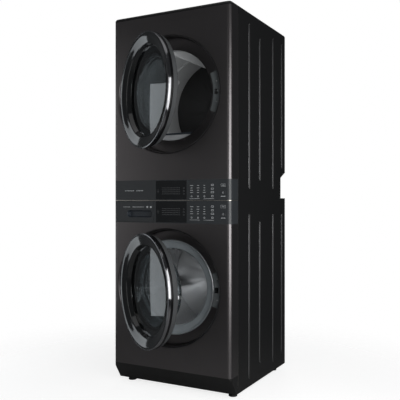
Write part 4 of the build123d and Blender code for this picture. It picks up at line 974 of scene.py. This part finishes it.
# ---------------------------------------------------------------- stage, lights, camera
def build_stage():
    """Pale floor that brightens for the eye and fades into the backdrop."""
    floor_r = 5.2
    bm = bmesh.new()
    bmesh.ops.create_circle(bm, cap_ends=True, radius=floor_r, segments=128)
    mesh = bpy.data.meshes.new("studio_floor")
    bm.to_mesh(mesh)
    bm.free()
    material = surface("pale_floor", (0.38, 0.38, 0.38), 0.6, vary=0.01, cloud=1.0, grain=80.0, bump=0.02)
    tree = material.node_tree
    shader = tree.nodes["Principled BSDF"]
    out = tree.nodes["Material Output"]
    where = tree.nodes["Texture Coordinate"]
    reach = tree.nodes.new("ShaderNodeVectorMath")
    reach.operation = "LENGTH"
    link(tree, where, "Object", reach, 0)
    fade = tree.nodes.new("ShaderNodeMapRange")
    fade.interpolation_type = "SMOOTHSTEP"
    fade.inputs["From Min"].default_value = 0.55
    fade.inputs["From Max"].default_value = 1.9
    link(tree, reach, "Value", fade, "Value")
    clear = tree.nodes.new("ShaderNodeBsdfTransparent")
    glow = tree.nodes.new("ShaderNodeEmission")
    glow.inputs["Strength"].default_value = 0.80
    lit = tree.nodes.new("ShaderNodeAddShader")
    link(tree, shader, "BSDF", lit, 0)
    link(tree, glow, "Emission", lit, 1)
    path = tree.nodes.new("ShaderNodeLightPath")
    seen = tree.nodes.new("ShaderNodeMixShader")
    link(tree, path, "Is Camera Ray", seen, 0)
    link(tree, shader, "BSDF", seen, 1)
    tree.links.new(lit.outputs[0], seen.inputs[2])
    mix = tree.nodes.new("ShaderNodeMixShader")
    link(tree, fade, "Result", mix, 0)
    tree.links.new(seen.outputs[0], mix.inputs[1])
    tree.links.new(clear.outputs[0], mix.inputs[2])
    tree.links.new(mix.outputs[0], out.inputs["Surface"])
    mesh.materials.append(material)
    floor = bpy.data.objects.new("studio_floor", mesh)
    bpy.context.scene.collection.objects.link(floor)


def build_world():
    """White backdrop for the eye, a dim grey room for light and reflections."""
    world = bpy.data.worlds.new("studio")
    bpy.context.scene.world = world
    world.use_nodes = True
    tree = world.node_tree
    tree.nodes.clear()
    out = tree.nodes.new("ShaderNodeOutputWorld")
    mix = tree.nodes.new("ShaderNodeMixShader")
    path = tree.nodes.new("ShaderNodeLightPath")
    room = tree.nodes.new("ShaderNodeBackground")
    room.inputs["Color"].default_value = (0.92, 0.96, 1.0, 1.0)
    room.inputs["Strength"].default_value = 0.07
    white = tree.nodes.new("ShaderNodeBackground")
    white.inputs["Color"].default_value = (1.0, 1.0, 1.0, 1.0)
    white.inputs["Strength"].default_value = 1.0
    tree.links.new(path.outputs["Is Camera Ray"], mix.inputs[0])
    tree.links.new(room.outputs[0], mix.inputs[1])
    tree.links.new(white.outputs[0], mix.inputs[2])
    tree.links.new(mix.outputs[0], out.inputs["Surface"])


def softbox(name, place, aim, width, height, radiance, tint=(1.0, 1.0, 1.0)):
    """Rectangular light at place, facing aim, with the given surface radiance."""
    data = bpy.data.lights.new(name, "AREA")
    data.shape = "RECTANGLE"
    data.size = width
    data.size_y = height
    data.energy = radiance * pi * width * height
    data.color = tint
    lamp = bpy.data.objects.new(name, data)
    lamp.location = place
    lamp.rotation_euler = (Vector(aim) - Vector(place)).to_track_quat("-Z", "Y").to_euler()
    bpy.context.scene.collection.objects.link(lamp)
    return lamp


def build_lights():
    """Windows at both sides, a soft front, and a small lamp in each drum."""
    softbox("left_window", (-1.5, -0.345, 0.96), (0.0, -0.345, 0.96), 0.34, 1.72, 1.15, (0.90, 0.96, 1.0))
    softbox("right_window", (1.5, -0.75, 1.12), (0.0, -0.75, 1.12), 0.95, 1.6, 3.2)
    softbox("ceiling", (0.0, -0.6, 3.6), (0.0, -0.1, 0.0), 2.6, 2.6, 0.5)
    softbox("front_left", (-2.8, -2.5, 1.2), (-0.2, FRONT, 1.0), 1.3, 2.6, 0.9)
    softbox("front", (-0.1, -3.6, 1.3), (-0.1, FRONT, 1.0), 1.3, 2.4, 0.55)
    softbox("front_right", (2.2, -1.95, 1.0), (0.34, FRONT, 0.97), 1.7, 1.5, 4.6)
    softbox("back_fill", (-1.0, 3.8, 2.0), (0.0, 0.5, 1.0), 2.0, 1.6, 0.9).visible_camera = False
    for name, z, radiance in (("washer_inside", WASHER_Z, 7.0), ("dryer_inside", DRYER_Z, 9.0)):
        place = (AXIS_X + 0.17, depth(190), z + 0.06)
        aim = (AXIS_X - 0.22, depth(400), z - 0.03)
        softbox(name, place, aim, 0.14, 0.14, radiance).visible_camera = False


def build_camera():
    """The camera that was fitted to the photo's edges."""
    data = bpy.data.cameras.new("photo_view")
    data.lens = 54.88
    data.sensor_width = 36.0
    camera = bpy.data.objects.new("photo_view", data)
    camera.location = (1.5929, FRONT - 2.6210, 0.9691)
    camera.rotation_euler = (radians(90), 0.0, radians(28.41))
    bpy.context.scene.collection.objects.link(camera)
    bpy.context.scene.camera = camera


# ---------------------------------------------------------------- the whole scene
build_camera()
build_world()
build_lights()
build_stage()
dress_cad_nodes()
build_door("washer_door", WASHER_Z, 140, 148)
build_door("dryer_door", DRYER_Z, 78, 166)
build_washer_drum()
build_bellows()
build_dryer_drum()
build_latch_fittings()
build_side_ribs()
build_legends()
build_display_marks()
for key in ("washer", "dryer"):
    key_print(key + "_start_key", "start")
    key_print(key + "_power_key", "power")
build_drawer_front()
build_feet()
build_back_screws()
build_back_details()
bpy.context.scene.view_settings.view_transform = "Standard"
